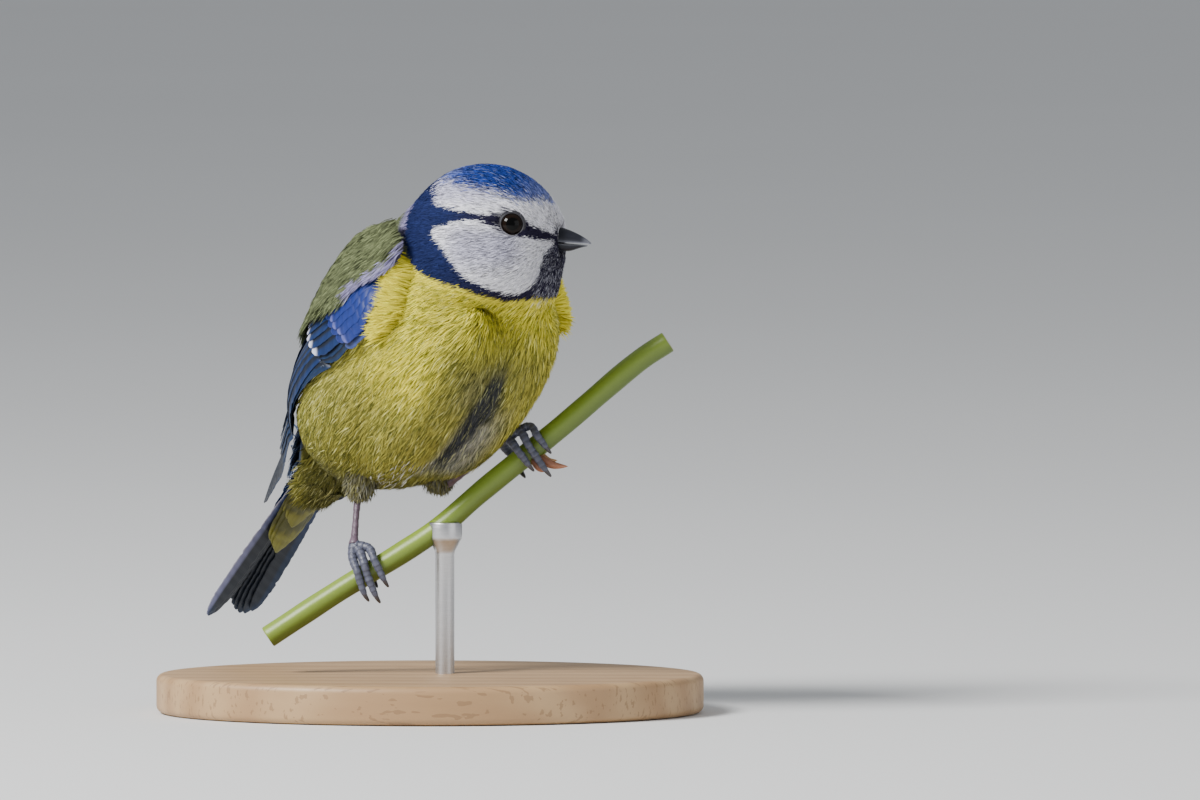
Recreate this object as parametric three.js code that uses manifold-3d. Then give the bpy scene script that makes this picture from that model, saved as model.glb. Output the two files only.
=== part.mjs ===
// A life-size blue tit, perched on a short cut stem that a plain stand holds up.
// Millimetres, +Z up. The origin is the middle of the stand's underside. The stem runs along X,
// rising to +X, and the bird's breast faces +X and -Y, with its head turned towards +X.
import * as THREE from "three";
import { mergeVertices } from "three/addons/utils/BufferGeometryUtils.js";
import Module from "manifold-3d";

const wasm = await Module();
wasm.setup();

const GAP = 0.3; // the clearance between touching pieces
const V = (x, y, z) => new THREE.Vector3(x, y, z);
const rad = THREE.MathUtils.degToRad;
const { lerp, clamp, smoothstep } = THREE.MathUtils;

// Driving dimensions: the bird
const torsoCentre = V(-0.8, 2, 56); // the middle of the trunk, above the stem
const bodyYaw = 55; // how far the breast turns from +X towards -Y, in degrees
const bodyPitch = 45; // how steeply the back rises towards the head, in degrees
const headCentre = [31.3, 0, 4.4]; // in the body's frame: forward, left, towards the back
const headYaw = 15;
const headPitch = -5;
const tailRoot = [-31, 0, 10.5];
const tailTip = [-73, 0, 13];
// The left wing's lower and upper edges where it lies on the body: forward, then left and up of
// each edge. The right wing is its mirror image.
const wingEdges = [
  [22, 15, 1, 9.5, 11],
  [15, 18, -2.5, 9, 15.5],
  [6, 19.6, -1, 7.5, 18],
  [-5, 19.5, 1, 5.5, 17],
  [-18, 15, 6, 4, 16],
  [-30, 10.5, 10, 4.2, 14.5],
  [-43, 7, 12.4, 5, 13.2],
];

// A frame of three directions round a centre: forward, left and up (towards the back)
function frameAt(centre, yaw, pitch) {
  const forward = V(
    Math.cos(rad(pitch)) * Math.cos(rad(yaw)),
    -Math.cos(rad(pitch)) * Math.sin(rad(yaw)),
    Math.sin(rad(pitch)),
  );
  const left = V(Math.sin(rad(yaw)), Math.cos(rad(yaw)), 0);
  const up = forward.clone().cross(left);
  const point = ([a, b, c]) =>
    centre.clone().addScaledVector(forward, a).addScaledVector(left, b).addScaledVector(up, c);
  const local = (p) => {
    const d = p.clone().sub(centre);
    return [d.dot(forward), d.dot(left), d.dot(up)];
  };
  return { centre, forward, left, up, point, local };
}
const body = frameAt(torsoCentre, bodyYaw, bodyPitch);
const head = frameAt(body.point(headCentre), headYaw, headPitch);

// The plumage's outer form is a soft union of ellipsoids, each given in its frame by its
// middle and its three half-sizes: forward, sideways, up.
const masses = [
  { frame: body, at: [-1.3, 0, 2.5], size: [20.7, 19.7, 14.5] }, // trunk
  { frame: body, at: [12, 0, 0.5], size: [15, 18.8, 15] }, // breast
  { frame: body, at: [-8.8, 0, 2.5], size: [16, 17.7, 11.9] }, // belly
  { frame: body, at: [6.5, 6, -8.4], size: [19.3, 7.1, 7] }, // left side of the belly
  { frame: body, at: [6.5, -6, -8.4], size: [19.3, 7.1, 7] }, // right side of the belly
  { frame: body, at: [9, 0, 9], size: [19, 15.5, 11] }, // mantle
  { frame: body, at: [22, 0, 6], size: [12, 13.5, 12] }, // neck
  { frame: body, at: [-22, 0, 9], size: [14, 9.5, 7] }, // rump
  { frame: body, at: [-34, 0, 9.8], size: [13, 5.6, 3.6] }, // tail coverts
  { frame: head, at: [-0.5, 0, 0.4], size: [12.4, 11.4, 10.9] }, // skull and crown
  { frame: head, at: [0.5, 5, -4.5], size: [9.5, 6.5, 7] }, // left cheek
  { frame: head, at: [0.5, -5, -4.5], size: [9.5, 6.5, 7] }, // right cheek
  { frame: head, at: [7, 0, -1.2], size: [6, 4.8, 6.4] }, // face round the bill
  { frame: head, at: [6.2, 0, -8], size: [6, 6, 6] }, // throat
];
const softness = 3.5; // how widely two masses blend

// How far a point lies outside the plumage, in millimetres; negative inside
function outside(p) {
  let total = Infinity;
  for (const { frame, at, size } of masses) {
    const q = frame.local(p).map((c, i) => c - at[i]);
    const k0 = Math.hypot(...q.map((c, i) => c / size[i]));
    const k1 = Math.hypot(...q.map((c, i) => c / size[i] ** 2));
    const d = k1 > 0 ? (k0 * (k0 - 1)) / k1 : -Math.min(...size);
    if (total === Infinity) total = d;
    else {
      const h = Math.max(softness - Math.abs(total - d), 0) / softness;
      total = Math.min(total, d) - (h * h * softness) / 4;
    }
  }
  return total;
}

// The point where a ray from inside leaves the plumage, or a shell at some level over it
function surfacePoint(from, direction, level = 0) {
  const step = 0.6;
  let reach = 0;
  const at = (r) => from.clone().addScaledVector(direction, r);
  while (outside(at(reach)) < level && reach < 60) reach += step;
  let low = Math.max(reach - step, 0);
  let high = reach;
  for (let i = 0; i < 14; i++) {
    const middle = (low + high) / 2;
    if (outside(at(middle)) < level) low = middle;
    else high = middle;
  }
  return at(high);
}

// A closed mesh through rings of points, with a flat or pointed end at each side
function loft(rings) {
  const sides = rings[0].length;
  const points = rings.flat();
  const triangles = [];
  for (let i = 0; i + 1 < rings.length; i++)
    for (let k = 0; k < sides; k++) {
      const next = (k + 1) % sides;
      const [a, b, c, d] = [i * sides + k, i * sides + next, (i + 1) * sides + next, (i + 1) * sides + k];
      triangles.push(a, c, b, a, d, c);
    }
  for (const [ring, first, flip] of [[rings[0], 0, false], [rings.at(-1), (rings.length - 1) * sides, true]]) {
    const middle = ring.reduce((sum, p) => sum.add(p), V(0, 0, 0)).divideScalar(sides);
    points.push(middle);
    for (let k = 0; k < sides; k++) {
      const edge = [first + k, first + ((k + 1) % sides)];
      if (flip) edge.reverse();
      triangles.push(edge[0], edge[1], points.length - 1);
    }
  }
  return meshOf(points, triangles);
}

function meshOf(points, triangles) {
  const g = new THREE.BufferGeometry().setFromPoints(points);
  g.setIndex(triangles);
  return g;
}

// manifold-3d solids from geometry, and back
function solid(geometry) {
  const bare = geometry.clone();
  for (const name of Object.keys(bare.attributes)) if (name !== "position") bare.deleteAttribute(name);
  const merged = mergeVertices(bare, 1e-4);
  const triVerts = new Uint32Array(merged.index.array);
  const make = (t) => new wasm.Manifold(new wasm.Mesh({
    numProp: 3, vertProperties: merged.attributes.position.array, triVerts: t,
  }));
  const made = make(triVerts);
  if (made.volume() >= 0) return made;
  for (let i = 0; i < triVerts.length; i += 3)
    [triVerts[i + 1], triVerts[i + 2]] = [triVerts[i + 2], triVerts[i + 1]];
  return make(triVerts);
}
function geometryOf(manifold) {
  const largest = manifold.decompose().sort((a, b) => b.volume() - a.volume())[0];
  const mesh = largest.getMesh();
  const flat = new Float32Array(mesh.numVert * 3);
  for (let i = 0; i < mesh.numVert; i++)
    flat.set(mesh.vertProperties.subarray(i * mesh.numProp, i * mesh.numProp + 3), i * 3);
  return new THREE.BufferGeometry()
    .setAttribute("position", new THREE.BufferAttribute(flat, 3))
    .setIndex(new THREE.BufferAttribute(mesh.triVerts, 1));
}
const fuse = (solids) => solids.reduce((sum, s) => sum.add(s));

// Rings of the plumage square to the body, from one place on its axis to another
const ringSides = 30;
function trunk(from, to, rings, level = 0, sides = ringSides) {
  return loft(Array.from({ length: rings }, (_, i) => {
    const place = lerp(from, to, i / (rings - 1));
    const centre = body.point([place, 0, axisHeight(place)]);
    return Array.from({ length: sides }, (_, k) => surfacePoint(centre, across(body, k / sides), level));
  }));
}
// The middle of the rings rises towards the tail, where the body tapers to the rump
const axisHeight = (place) => 7.5 * smoothstep(-place, 5, 30);
function across(frame, share) {
  const turn = share * 2 * Math.PI;
  return frame.left.clone().multiplyScalar(Math.cos(turn)).addScaledVector(frame.up, -Math.sin(turn));
}
// A ball of rays from inside the plumage out to its surface, with its poles along the frame's axis
function ball(frame, rings, level = 0, sides = ringSides) {
  const pole = 0.03;
  return loft(Array.from({ length: rings }, (_, i) => {
    const lean = lerp(pole, Math.PI - pole, i / (rings - 1));
    return Array.from({ length: sides }, (_, k) => {
      const ray = across(frame, k / sides).multiplyScalar(Math.sin(lean));
      return surfacePoint(frame.centre, ray.addScaledVector(frame.forward, -Math.cos(lean)), level);
    });
  }));
}

// A cut through the plumage: what lies on its far side, or on its near side, clear by half a gap
function cutAt(centre, yaw, pitch) {
  const { forward } = frameAt(centre, yaw, pitch);
  const offset = forward.dot(centre);
  return {
    beyond: (s) => s.trimByPlane(forward.toArray(), offset + GAP / 2),
    before: (s) => s.trimByPlane(forward.clone().negate().toArray(), GAP / 2 - offset),
  };
}
const tailCut = cutAt(body.point([-31, 0, 0]), bodyYaw, bodyPitch);
const breastCut = cutAt(V(8.4, -12, 75.4), 40, 60);
const headCut = cutAt(V(10.6, -12, 78.8), 35, 56);
const nape = frameAt(V(8, -10, 76), 35, 56);

const torso = solid(trunk(-33, 34, 22));
const clearOfBody = fuse([solid(trunk(-46, 34, 26, GAP)), solid(ball(nape, 14, GAP))]);
// The same, coarser and further out, to trim the undersides of the wings
const underWings = fuse([solid(trunk(-46, 34, 12, 0.85, 18)), solid(ball(nape, 8, 0.85, 18))]);
const skull = solid(ball(head, 18));

// A thin sheet with one thickness, split into triangles alike on both faces
function sheet(rows, thickness) {
  const across = rows[0].length;
  const points = [];
  for (const face of [0.5, -0.5])
    for (const row of rows)
      for (const { at, normal } of row) points.push(at.clone().addScaledVector(normal, face * thickness));
  const lower = rows.length * across;
  const index = (i, j) => i * across + j;
  const triangles = [];
  for (let i = 0; i + 1 < rows.length; i++)
    for (let j = 0; j + 1 < across; j++)
      for (const [a, b, c] of [
        [index(i, j), index(i, j + 1), index(i + 1, j + 1)],
        [index(i, j), index(i + 1, j + 1), index(i + 1, j)],
      ]) triangles.push(a, b, c, a + lower, c + lower, b + lower);
  const rim = [
    ...rows[0].map((_, j) => index(0, j)),
    ...rows.slice(1).map((_, i) => index(i + 1, across - 1)),
    ...rows[0].slice(1).map((_, j) => index(rows.length - 1, across - 2 - j)),
    ...rows.slice(2).map((_, i) => index(rows.length - 2 - i, 0)),
  ];
  rim.forEach((a, i) => {
    const b = rim[(i + 1) % rim.length];
    triangles.push(b, a, a + lower, b, a + lower, b + lower);
  });
  return meshOf(points, triangles);
}

// A feather's vane: pairs of points from its root to its tip, its width taking these shares
const longVane = [[0, 0.7], [0.45, 1], [0.86, 0.9], [1, 0.35]]; // share of length, of full width
const shortVane = [[0, 0.8], [0.76, 1], [1, 0.4]];
const vaneThickness = 0.55;
function vane(shape, width, pointAt) {
  const rows = shape.map(([share, wide]) => [-1, 1].map((edge) => pointAt(share, edge * (width / 2) * wide)));
  return solid(sheet(rows, vaneThickness));
}

// The folded wing's sheet: a point at a place along the body, a share of the way from the lower
// edge to the upper one, and a level over the plumage
const wingRest = 1; // the level of the wing's underlying sheet
function wingPoint(side, place, share, level) {
  const k = Math.max(1, wingEdges.findIndex((row, i) => place >= row[0] || i === wingEdges.length - 1));
  const t = (place - wingEdges[k - 1][0]) / (wingEdges[k][0] - wingEdges[k - 1][0]);
  const [, lowLeft, lowUp, highLeft, highUp] = wingEdges[k].map((c, i) => lerp(wingEdges[k - 1][i], c, t));
  const [across, rise] = [highLeft - lowLeft, highUp - lowUp];
  const wide = Math.hypot(across, rise);
  const out = body.left.clone().multiplyScalar((side * rise) / wide).addScaledVector(body.up, -across / wide);
  const at = body.point([place, side * (lowLeft + across * share), lowUp + rise * share]);
  at.addScaledVector(out, 0.4 * wide * Math.max(0, share * (1 - share)));
  const settle = 2 * smoothstep(place, -20, -5);
  for (let i = 0; i < 6; i++) at.addScaledVector(out, clamp(wingRest - outside(at), -settle, 4));
  return { at: at.addScaledVector(out, level - wingRest), normal: out, wide };
}
function wingSolid(side) {
  // One feather between two [place, share] points, rising from one level to another
  const feather = (shape, { root, tip, width, low, high }) =>
    vane(shape, width, (share, aside) => {
      const place = lerp(root[0], tip[0], share);
      const { wide } = wingPoint(side, place, 0.5, wingRest);
      const level = lerp(low, high, Math.min(1, share * 2)) - 0.09 * side * aside;
      return wingPoint(side, place, lerp(root[1], tip[1], share) + (side * aside) / wide, level);
    });
  const row = (count, shape, make) =>
    Array.from({ length: count }, (_, i) => feather(shape, make(i / (count - 1))));
  const core = Array.from({ length: 6 }, (_, i) =>
    Array.from({ length: 3 }, (_, j) =>
      wingPoint(side, lerp(20, -20, i / 5), lerp(0.06, 0.94, side > 0 ? j / 2 : 1 - j / 2), wingRest + 0.15)));
  return fuse([
    solid(sheet(core, 1)),
    ...row(5, longVane, (s) => ({ // primaries, from the outermost, which is the lowest
      root: [lerp(2, -6, s), lerp(0.1, 0.28, s)], tip: [lerp(-43, -33, s ** 1.4), lerp(0.35, 0.1, s)],
      width: 4.6, low: 0.95, high: lerp(0.9, 1.35, s),
    })),
    ...row(5, longVane, (s) => ({ // secondaries
      root: [lerp(2, -2, s), lerp(0.18, 0.6, s)], tip: [lerp(-28, -26, s), lerp(0.2, 0.75, s)],
      width: 5, low: 1.05, high: lerp(1.5, 1.9, s),
    })),
    ...row(3, longVane, (s) => ({ // tertials
      root: [lerp(0, 2, s), lerp(0.62, 0.88, s)], tip: [lerp(-23, -13, s), lerp(0.72, 0.92, s)],
      width: 6.4, low: 1.2, high: lerp(2.1, 2.4, s),
    })),
    ...row(3, shortVane, (s) => ({ // primary coverts, along the lower edge
      root: [lerp(15, 12, s), lerp(0.06, 0.14, s)], tip: [lerp(-1, 1, s), lerp(0.02, 0.16, s)],
      width: 3.2, low: 1.1, high: lerp(1.4, 1.65, s),
    })),
    ...row(6, shortVane, (s) => ({ // greater coverts, whose pale tips make the wing bar
      root: [lerp(12, 8, s), lerp(0.14, 0.88, s)], tip: [lerp(2, -1, s), lerp(0.16, 0.9, s)],
      width: 4.6, low: 1.2, high: lerp(1.85, 2.4, s),
    })),
    ...row(5, shortVane, (s) => ({ // median coverts
      root: [lerp(17, 13, s), lerp(0.12, 0.9, s)], tip: [lerp(8, 5, s), lerp(0.12, 0.9, s)],
      width: 5.2, low: 1.3, high: lerp(2.25, 2.65, s),
    })),
    ...row(3, shortVane, (s) => ({ // lesser coverts
      root: [lerp(21, 18, s), lerp(0.14, 0.88, s)], tip: [lerp(14, 11, s), lerp(0.1, 0.88, s)],
      width: 6.6, low: 1.3, high: lerp(2.35, 2.65, s),
    })),
  ]).subtract(underWings);
}

// The tail: six pairs of feathers, the middle pair on top, with coverts over and under their roots
function tailSolid() {
  const fan = [];
  for (let pair = 5; pair >= 0; pair--)
    for (const side of [1, -1]) {
      const deep = -0.3 * pair - (side > 0 ? 0 : 0.15);
      const end = tailTip[0] + [2.4, 1.2, 0.4, 0, 0.3, 1.4][pair];
      const spread = side * (0.9 + 0.72 * pair);
      fan.push(vane(longVane, 4.6 - 0.1 * pair, (share, aside) => ({
        at: body.point([lerp(-32, end, share), side * 0.4 * (pair + 1) * (1 - share) + spread * share + aside,
          lerp(tailRoot[2] + 0.2 + 0.5 * deep, tailTip[2] + 0.8 + deep, share)
          - 0.02 * aside * aside - 0.03 * (spread * share) ** 2]),
        normal: body.up,
      })));
    }
  const coverts = [];
  for (const [turn, reach, lift] of [[1, 14, 1.6], [-1, 19, -1.9]])
    for (let i = 0; i < 3; i++) {
      const l = lerp(-2.6, 2.6, i / 2);
      coverts.push(vane(shortVane, 3.8, (share, aside) => ({
        at: body.point([lerp(-34, -35 - reach + 0.8 * Math.abs(l), share), l * lerp(1, 0.7, share) + aside,
          tailRoot[2] + lerp(0.6 * lift, lift + 0.8, share) - turn * 0.08 * l * l]),
        normal: body.up,
      })));
    }
  return tailCut.before(fuse([solid(trunk(-46, -28, 10)), ...fan, ...coverts]));
}

// A round limb along part of a curve, its radius going through the given ones
function limb(curve, radii, { from = 0, to = 1, steps = 8, sides = 8 } = {}) {
  let side = V(0, 1, 0);
  return solid(loft(Array.from({ length: steps + 1 }, (_, i) => {
    const share = lerp(from, to, i / steps);
    const along = curve.getTangentAt(share);
    side = side.clone().addScaledVector(along, -side.dot(along)).normalize();
    const other = along.clone().cross(side);
    const place = (i / steps) * (radii.length - 1);
    const k = Math.min(Math.floor(place), radii.length - 2);
    const radius = lerp(radii[k], radii[k + 1], place - k);
    const centre = curve.getPointAt(share);
    return Array.from({ length: sides }, (_, j) => {
      const turn = (j / sides) * 2 * Math.PI;
      const arm = side.clone().multiplyScalar(radius * Math.cos(turn));
      return centre.clone().add(arm).addScaledVector(other, radius * Math.sin(turn));
    });
  })));
}
const line = (...points) => new THREE.CatmullRomCurve3(points);
const sphere = (centre, radius, around = 16, down = 10) =>
  solid(new THREE.SphereGeometry(radius, around, down).translate(...centre.toArray()));

// The bill: each half in rings of forward, half-width, top and bottom in the head's frame
const upperBill = [
  [9.4, 2, 2.3, -0.28], [12.4, 1.85, 1.98, -0.28], [13.8, 1.5, 1.62, -0.27],
  [15.6, 0.95, 0.95, -0.22], [16.9, 0.5, 0.42, -0.2], [17.6, 0.16, 0.04, -0.22],
];
const lowerBill = [
  [9.4, 1.9, -0.58, -2.2], [12, 1.75, -0.58, -1.95], [14.1, 1.35, -0.57, -1.74],
  [15.8, 0.8, -0.52, -1.06], [17, 0.25, -0.5, -0.66],
];
function billHalf(rings, dome, grow = 0) {
  return solid(loft(rings.map(([forward, half, top, bottom], i) =>
    Array.from({ length: 16 }, (_, k) => {
      const turn = (k / 16) * 2 * Math.PI;
      const rise = Math.sin(turn) * dome > 0 ? Math.abs(Math.sin(turn)) : 0;
      const [edge, crest] = dome > 0 ? [bottom, top] : [top, bottom];
      return head.point([forward - (i === 0 ? grow : 0), (half + grow) * Math.cos(turn),
        lerp(edge - dome * grow, crest + dome * grow, rise)]);
    }))));
}
const nostrils = [1, -1].map((side) => sphere(head.point([13, side * 1.62, 0.75]), 0.36, 8, 6));
const gape = fuse([1, -1].map((side) => {
  const slot = new THREE.BoxGeometry(2.2, 5, 0.32);
  slot.applyMatrix4(new THREE.Matrix4().makeBasis(head.forward, head.left, head.up));
  return solid(slot.translate(...head.point([11.4, side * 4.4, -0.43]).toArray()));
}));

// The eyes, each a ball behind a ring of lids
const eyeRadius = 2.3;
const eyeProud = 0.55; // how far the ball stands out of the plumage
function eyeOf(side) {
  const axis = head.forward.clone().multiplyScalar(0.36).addScaledVector(head.left, side * 0.92)
    .addScaledVector(head.up, 0.14).normalize();
  const seat = head.point([4.2, side * 4, 1.6]);
  const pole = surfacePoint(seat, axis).addScaledVector(axis, eyeProud);
  const centre = pole.clone().addScaledVector(axis, -eyeRadius);
  const ring = new THREE.TorusGeometry(2.15, 0.55, 6, 15);
  ring.applyQuaternion(new THREE.Quaternion().setFromUnitVectors(V(0, 0, 1), axis));
  ring.translate(...centre.clone().addScaledVector(axis, 1.8).toArray());
  return {
    ball: sphere(centre, eyeRadius, 16, 10),
    socket: sphere(centre, eyeRadius + GAP, 12, 8),
    lids: solid(ring),
  };
}
const eyes = { left: eyeOf(1), right: eyeOf(-1) };

// The stem and its stand
const stemRadius = 1.85;
const stemLine = line(
  V(-27.2, 0, 12.6), V(-15.1, 0, 20.5), V(-5, 0, 26.6), V(1.7, 0, 31.1), V(8.4, 0, 36.9),
  V(21.8, 0, 47.8), V(35.3, 0, 59.2), V(40, 0, 62.3),
);
function stemSolid(radius) {
  return limb(stemLine, [radius, radius], { steps: 14, sides: 14 });
}
const standTop = 6.5;
const standHalf = { x: 46, y: 34 };
const standBevel = 1.2;
const rodRadius = 1.6;
const rodPlace = { x: 2.5, depth: 3.5 };
function standBase() {
  const outline = new THREE.Shape();
  outline.absellipse(0, 0, standHalf.x - standBevel, standHalf.y - standBevel, 0, 2 * Math.PI);
  const slab = new THREE.ExtrudeGeometry(outline, {
    depth: standTop - 2 * standBevel, curveSegments: 18, bevelSize: standBevel,
    bevelThickness: standBevel, bevelSegments: 2,
  });
  const hole = new THREE.CylinderGeometry(rodRadius + GAP, rodRadius + GAP, 10, 24);
  hole.rotateX(Math.PI / 2).translate(rodPlace.x, 0, standTop - rodPlace.depth + 5 - GAP);
  return solid(slab.translate(0, 0, standBevel)).subtract(solid(hole));
}
function standRod() {
  const foot = standTop - rodPlace.depth;
  const seat = 32; // the height where the cup reaches round the stem
  const profile = [[0, foot], [rodRadius, foot], [rodRadius, seat - 5], [2.9, seat - 3], [2.9, seat], [0, seat]];
  const rod = new THREE.LatheGeometry(profile.map(([r, z]) => new THREE.Vector2(r, z)), 24);
  return solid(rod.rotateX(Math.PI / 2).translate(rodPlace.x, 0, 0)).subtract(stemSolid(stemRadius + GAP));
}

// Legs. A foot's points are given by a place along X on the stem's middle line, a height over it
// and a distance in front of it.
const toeRadius = 0.62;
function byStem(x, above, front) {
  const share = shareAt(x);
  const along = stemLine.getTangentAt(share);
  return stemLine.getPointAt(share).addScaledVector(V(-along.z, 0, along.x), above)
    .addScaledVector(V(0, -1, 0), front);
}
function shareAt(x) {
  let [low, high] = [0, 1];
  for (let i = 0; i < 30; i++) {
    const middle = (low + high) / 2;
    if (stemLine.getPointAt(middle).x < x) low = middle;
    else high = middle;
  }
  return low;
}
const hold = stemRadius + GAP + toeRadius + 0.05; // from the stem's middle line to a toe's
const legs = {
  right: {
    knee: [-9, -6.5, -1],
    ankle: V(-12.1, 4.5, 36.4),
    joint: byStem(-10.1, 5.3, 0),
    // each front toe: place at its base and at its end, height of its base, how far it hangs
    toes: { outer: [-11.1, -12.3, 3.7, 2.7], middle: [-9.8, -11, 3.8, 3.9], inner: [-8.4, -8.8, 3.6, 2.3] },
    back: [-10.1, -10.3],
  },
  left: {
    knee: [-9, 6.5, -1],
    ankle: V(1.4, 11, 37.2),
    joint: byStem(15.4, 4.4, -0.3),
    toes: { inner: [15.8, 15.7, 3.5, 1.5], middle: [17.5, 17, 3.8, 4], outer: [19, 18.9, 3.4, 1] },
    back: [14.6, 14.2],
  },
};
const clawLength = 2.3;
function digit(points, clearance) {
  const curve = line(...points);
  const split = 1 - clawLength / curve.getLength();
  const space = GAP / curve.getLength();
  const toe = (grow) =>
    limb(curve, [0.62, 0.6, toeRadius, 0.52].map((r) => r + grow), { to: split, steps: 10 });
  return {
    toe: toe(0).subtract(clearance),
    claw: limb(curve, [0.42, 0.3, 0.1], { from: split + space, steps: 5, sides: 7 }),
    clearance: clearance.add(toe(GAP)),
  };
}
function legOf(name) {
  const { knee, ankle, joint, toes, back } = legs[name];
  const thighLine = line(body.point(knee), ankle);
  const shank = (grow) => {
    const bone = line(ankle.clone().lerp(body.point(knee), 0.1), ankle, joint);
    return limb(bone, [0.75, 0.62, 0.6, 0.75].map((r) => r + grow), { steps: 7, sides: 8 })
      .add(sphere(joint, 1.05 + grow, 9, 6));
  };
  const thigh = limb(thighLine, [3.6, 2.8, 1.5], { steps: 6, sides: 14 }).subtract(clearOfBody);
  const thighClear = limb(thighLine, [3.6, 2.8, 1.5].map((r) => r + GAP), { steps: 6, sides: 14 })
    .add(sphere(ankle, 1.5 + GAP, 12, 8));
  const made = { thigh, tarsus: shank(0).subtract(thighClear).subtract(clearOfBody) };
  let clearance = shank(GAP);
  for (const [toe, [start, end, base, hang]] of Object.entries(toes)) {
    made["toe_" + toe] = digit([
      joint, byStem(start, base, 1.1), byStem(lerp(start, end, 0.3), 1.6, hold),
      byStem(lerp(start, end, 0.6), 0, hold), byStem(end, -hang, hold),
      byStem(end, -hang - 1, hold - 0.5), byStem(end, -hang - 1.4, hold - 1.6),
    ], clearance);
    clearance = made["toe_" + toe].clearance;
  }
  made.toe_back = digit([
    joint, byStem(back[0], 3.4, -1.6), byStem(back[0], 1.4, -hold), byStem(back[1], -0.2, -hold),
    byStem(back[1], -1.9, -2), byStem(back[1], -2.6, -1), byStem(back[1], -2.9, 0.2),
  ], clearance);
  return made;
}

const root = new THREE.Group();
function add(name, made, colour) {
  const geometry = made.isBufferGeometry ? made : geometryOf(made);
  const mesh = new THREE.Mesh(geometry, new THREE.MeshStandardMaterial({ color: colour, roughness: 0.8 }));
  mesh.name = name;
  root.add(mesh);
}
const billSpace = fuse([billHalf(upperBill, 1, GAP), billHalf(lowerBill, -1, GAP)]);
const face = headCut.beyond(skull).add(eyes.left.lids).add(eyes.right.lids)
  .subtract(eyes.left.socket).subtract(eyes.right.socket).subtract(billSpace)
  .subtract(gape.subtract(solid(ball(head, 12, -0.6))));
add("torso", tailCut.beyond(breastCut.before(torso)), 0xc9c24a);
add("neck", breastCut.beyond(headCut.before(solid(ball(nape, 18)))), 0x2b3f7a);
add("head", face, 0xe8e8f0);
add("bill_upper", billHalf(upperBill, 1).subtract(fuse(nostrils)), 0x30343c);
add("bill_lower", billHalf(lowerBill, -1), 0x30343c);
for (const side of ["left", "right"]) add("eye_" + side, eyes[side].ball, 0x15100e);
add("tail", tailSolid(), 0x5f7faa);
add("wing_left", wingSolid(1), 0x3b6fae);
add("wing_right", wingSolid(-1), 0x3b6fae);
for (const side of ["left", "right"]) {
  const { thigh, tarsus, ...toes } = legOf(side);
  add("thigh_" + side, thigh, 0xb9b8a0);
  add("tarsus_" + side, tarsus, 0x5a6470);
  for (const [name, { toe, claw }] of Object.entries(toes)) {
    add(name + "_" + side, toe, 0x5a6470);
    add(name.replace("toe", "claw") + "_" + side, claw, 0x3a3c42);
  }
}
add("stem", stemSolid(stemRadius), 0x8fae3a);
add("stand_base", standBase(), 0xc9ae86);
add("stand_rod", standRod(), 0x9a9c9e);

export default root;
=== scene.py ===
"""A blue tit on a cut stem, life-size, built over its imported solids."""

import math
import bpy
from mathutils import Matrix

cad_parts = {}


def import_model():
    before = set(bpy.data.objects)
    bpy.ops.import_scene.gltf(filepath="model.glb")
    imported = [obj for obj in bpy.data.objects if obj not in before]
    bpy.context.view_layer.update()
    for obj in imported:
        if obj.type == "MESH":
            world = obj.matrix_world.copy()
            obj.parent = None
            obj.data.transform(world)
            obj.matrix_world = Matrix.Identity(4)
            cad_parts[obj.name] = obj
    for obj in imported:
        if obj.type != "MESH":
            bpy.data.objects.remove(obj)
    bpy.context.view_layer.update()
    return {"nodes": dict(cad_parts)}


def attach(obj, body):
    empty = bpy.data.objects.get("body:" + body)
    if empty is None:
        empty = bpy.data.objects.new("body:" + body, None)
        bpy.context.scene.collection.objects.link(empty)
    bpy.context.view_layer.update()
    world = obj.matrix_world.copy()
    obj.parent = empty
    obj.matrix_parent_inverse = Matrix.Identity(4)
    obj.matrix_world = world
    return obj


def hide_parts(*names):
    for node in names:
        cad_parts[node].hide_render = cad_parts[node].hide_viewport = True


bl_info = {
    "name": "Blue tit on a stem",
    "version": (1, 0, 0),
    "blender": (4, 5, 0),
    "location": "View3D > Sidebar > Blue tit",
    "description": "Builds a still blue tit, its perch and its stand",
    "category": "Add Mesh",
}

from collections import namedtuple

import bmesh
import bpy
import numpy as np
from mathutils import Vector, kdtree

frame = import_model()

MM = 0.001
rad = math.radians


# Frames, in millimetres: rows of a matrix point forward, left and up (towards the back)
def frame_at(centre, yaw, pitch):
    yaw, pitch = rad(yaw), rad(pitch)
    forward = np.array([math.cos(pitch) * math.cos(yaw), -math.cos(pitch) * math.sin(yaw), math.sin(pitch)])
    left = np.array([math.sin(yaw), math.cos(yaw), 0])
    return np.array(centre, float), np.array([forward, left, np.cross(forward, left)])


def local(place, p):
    centre, rows = place
    return (p - centre) @ rows.T


def world(place, q):
    centre, rows = place
    return centre + np.asarray(q, float) @ rows


BODY = frame_at((-0.8, 2, 56), 55, 45)
HEAD = frame_at(world(BODY, (31.3, 0, 4.4)), 15, -5)
NAPE = frame_at((8, -10, 76), 35, 56)

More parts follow.
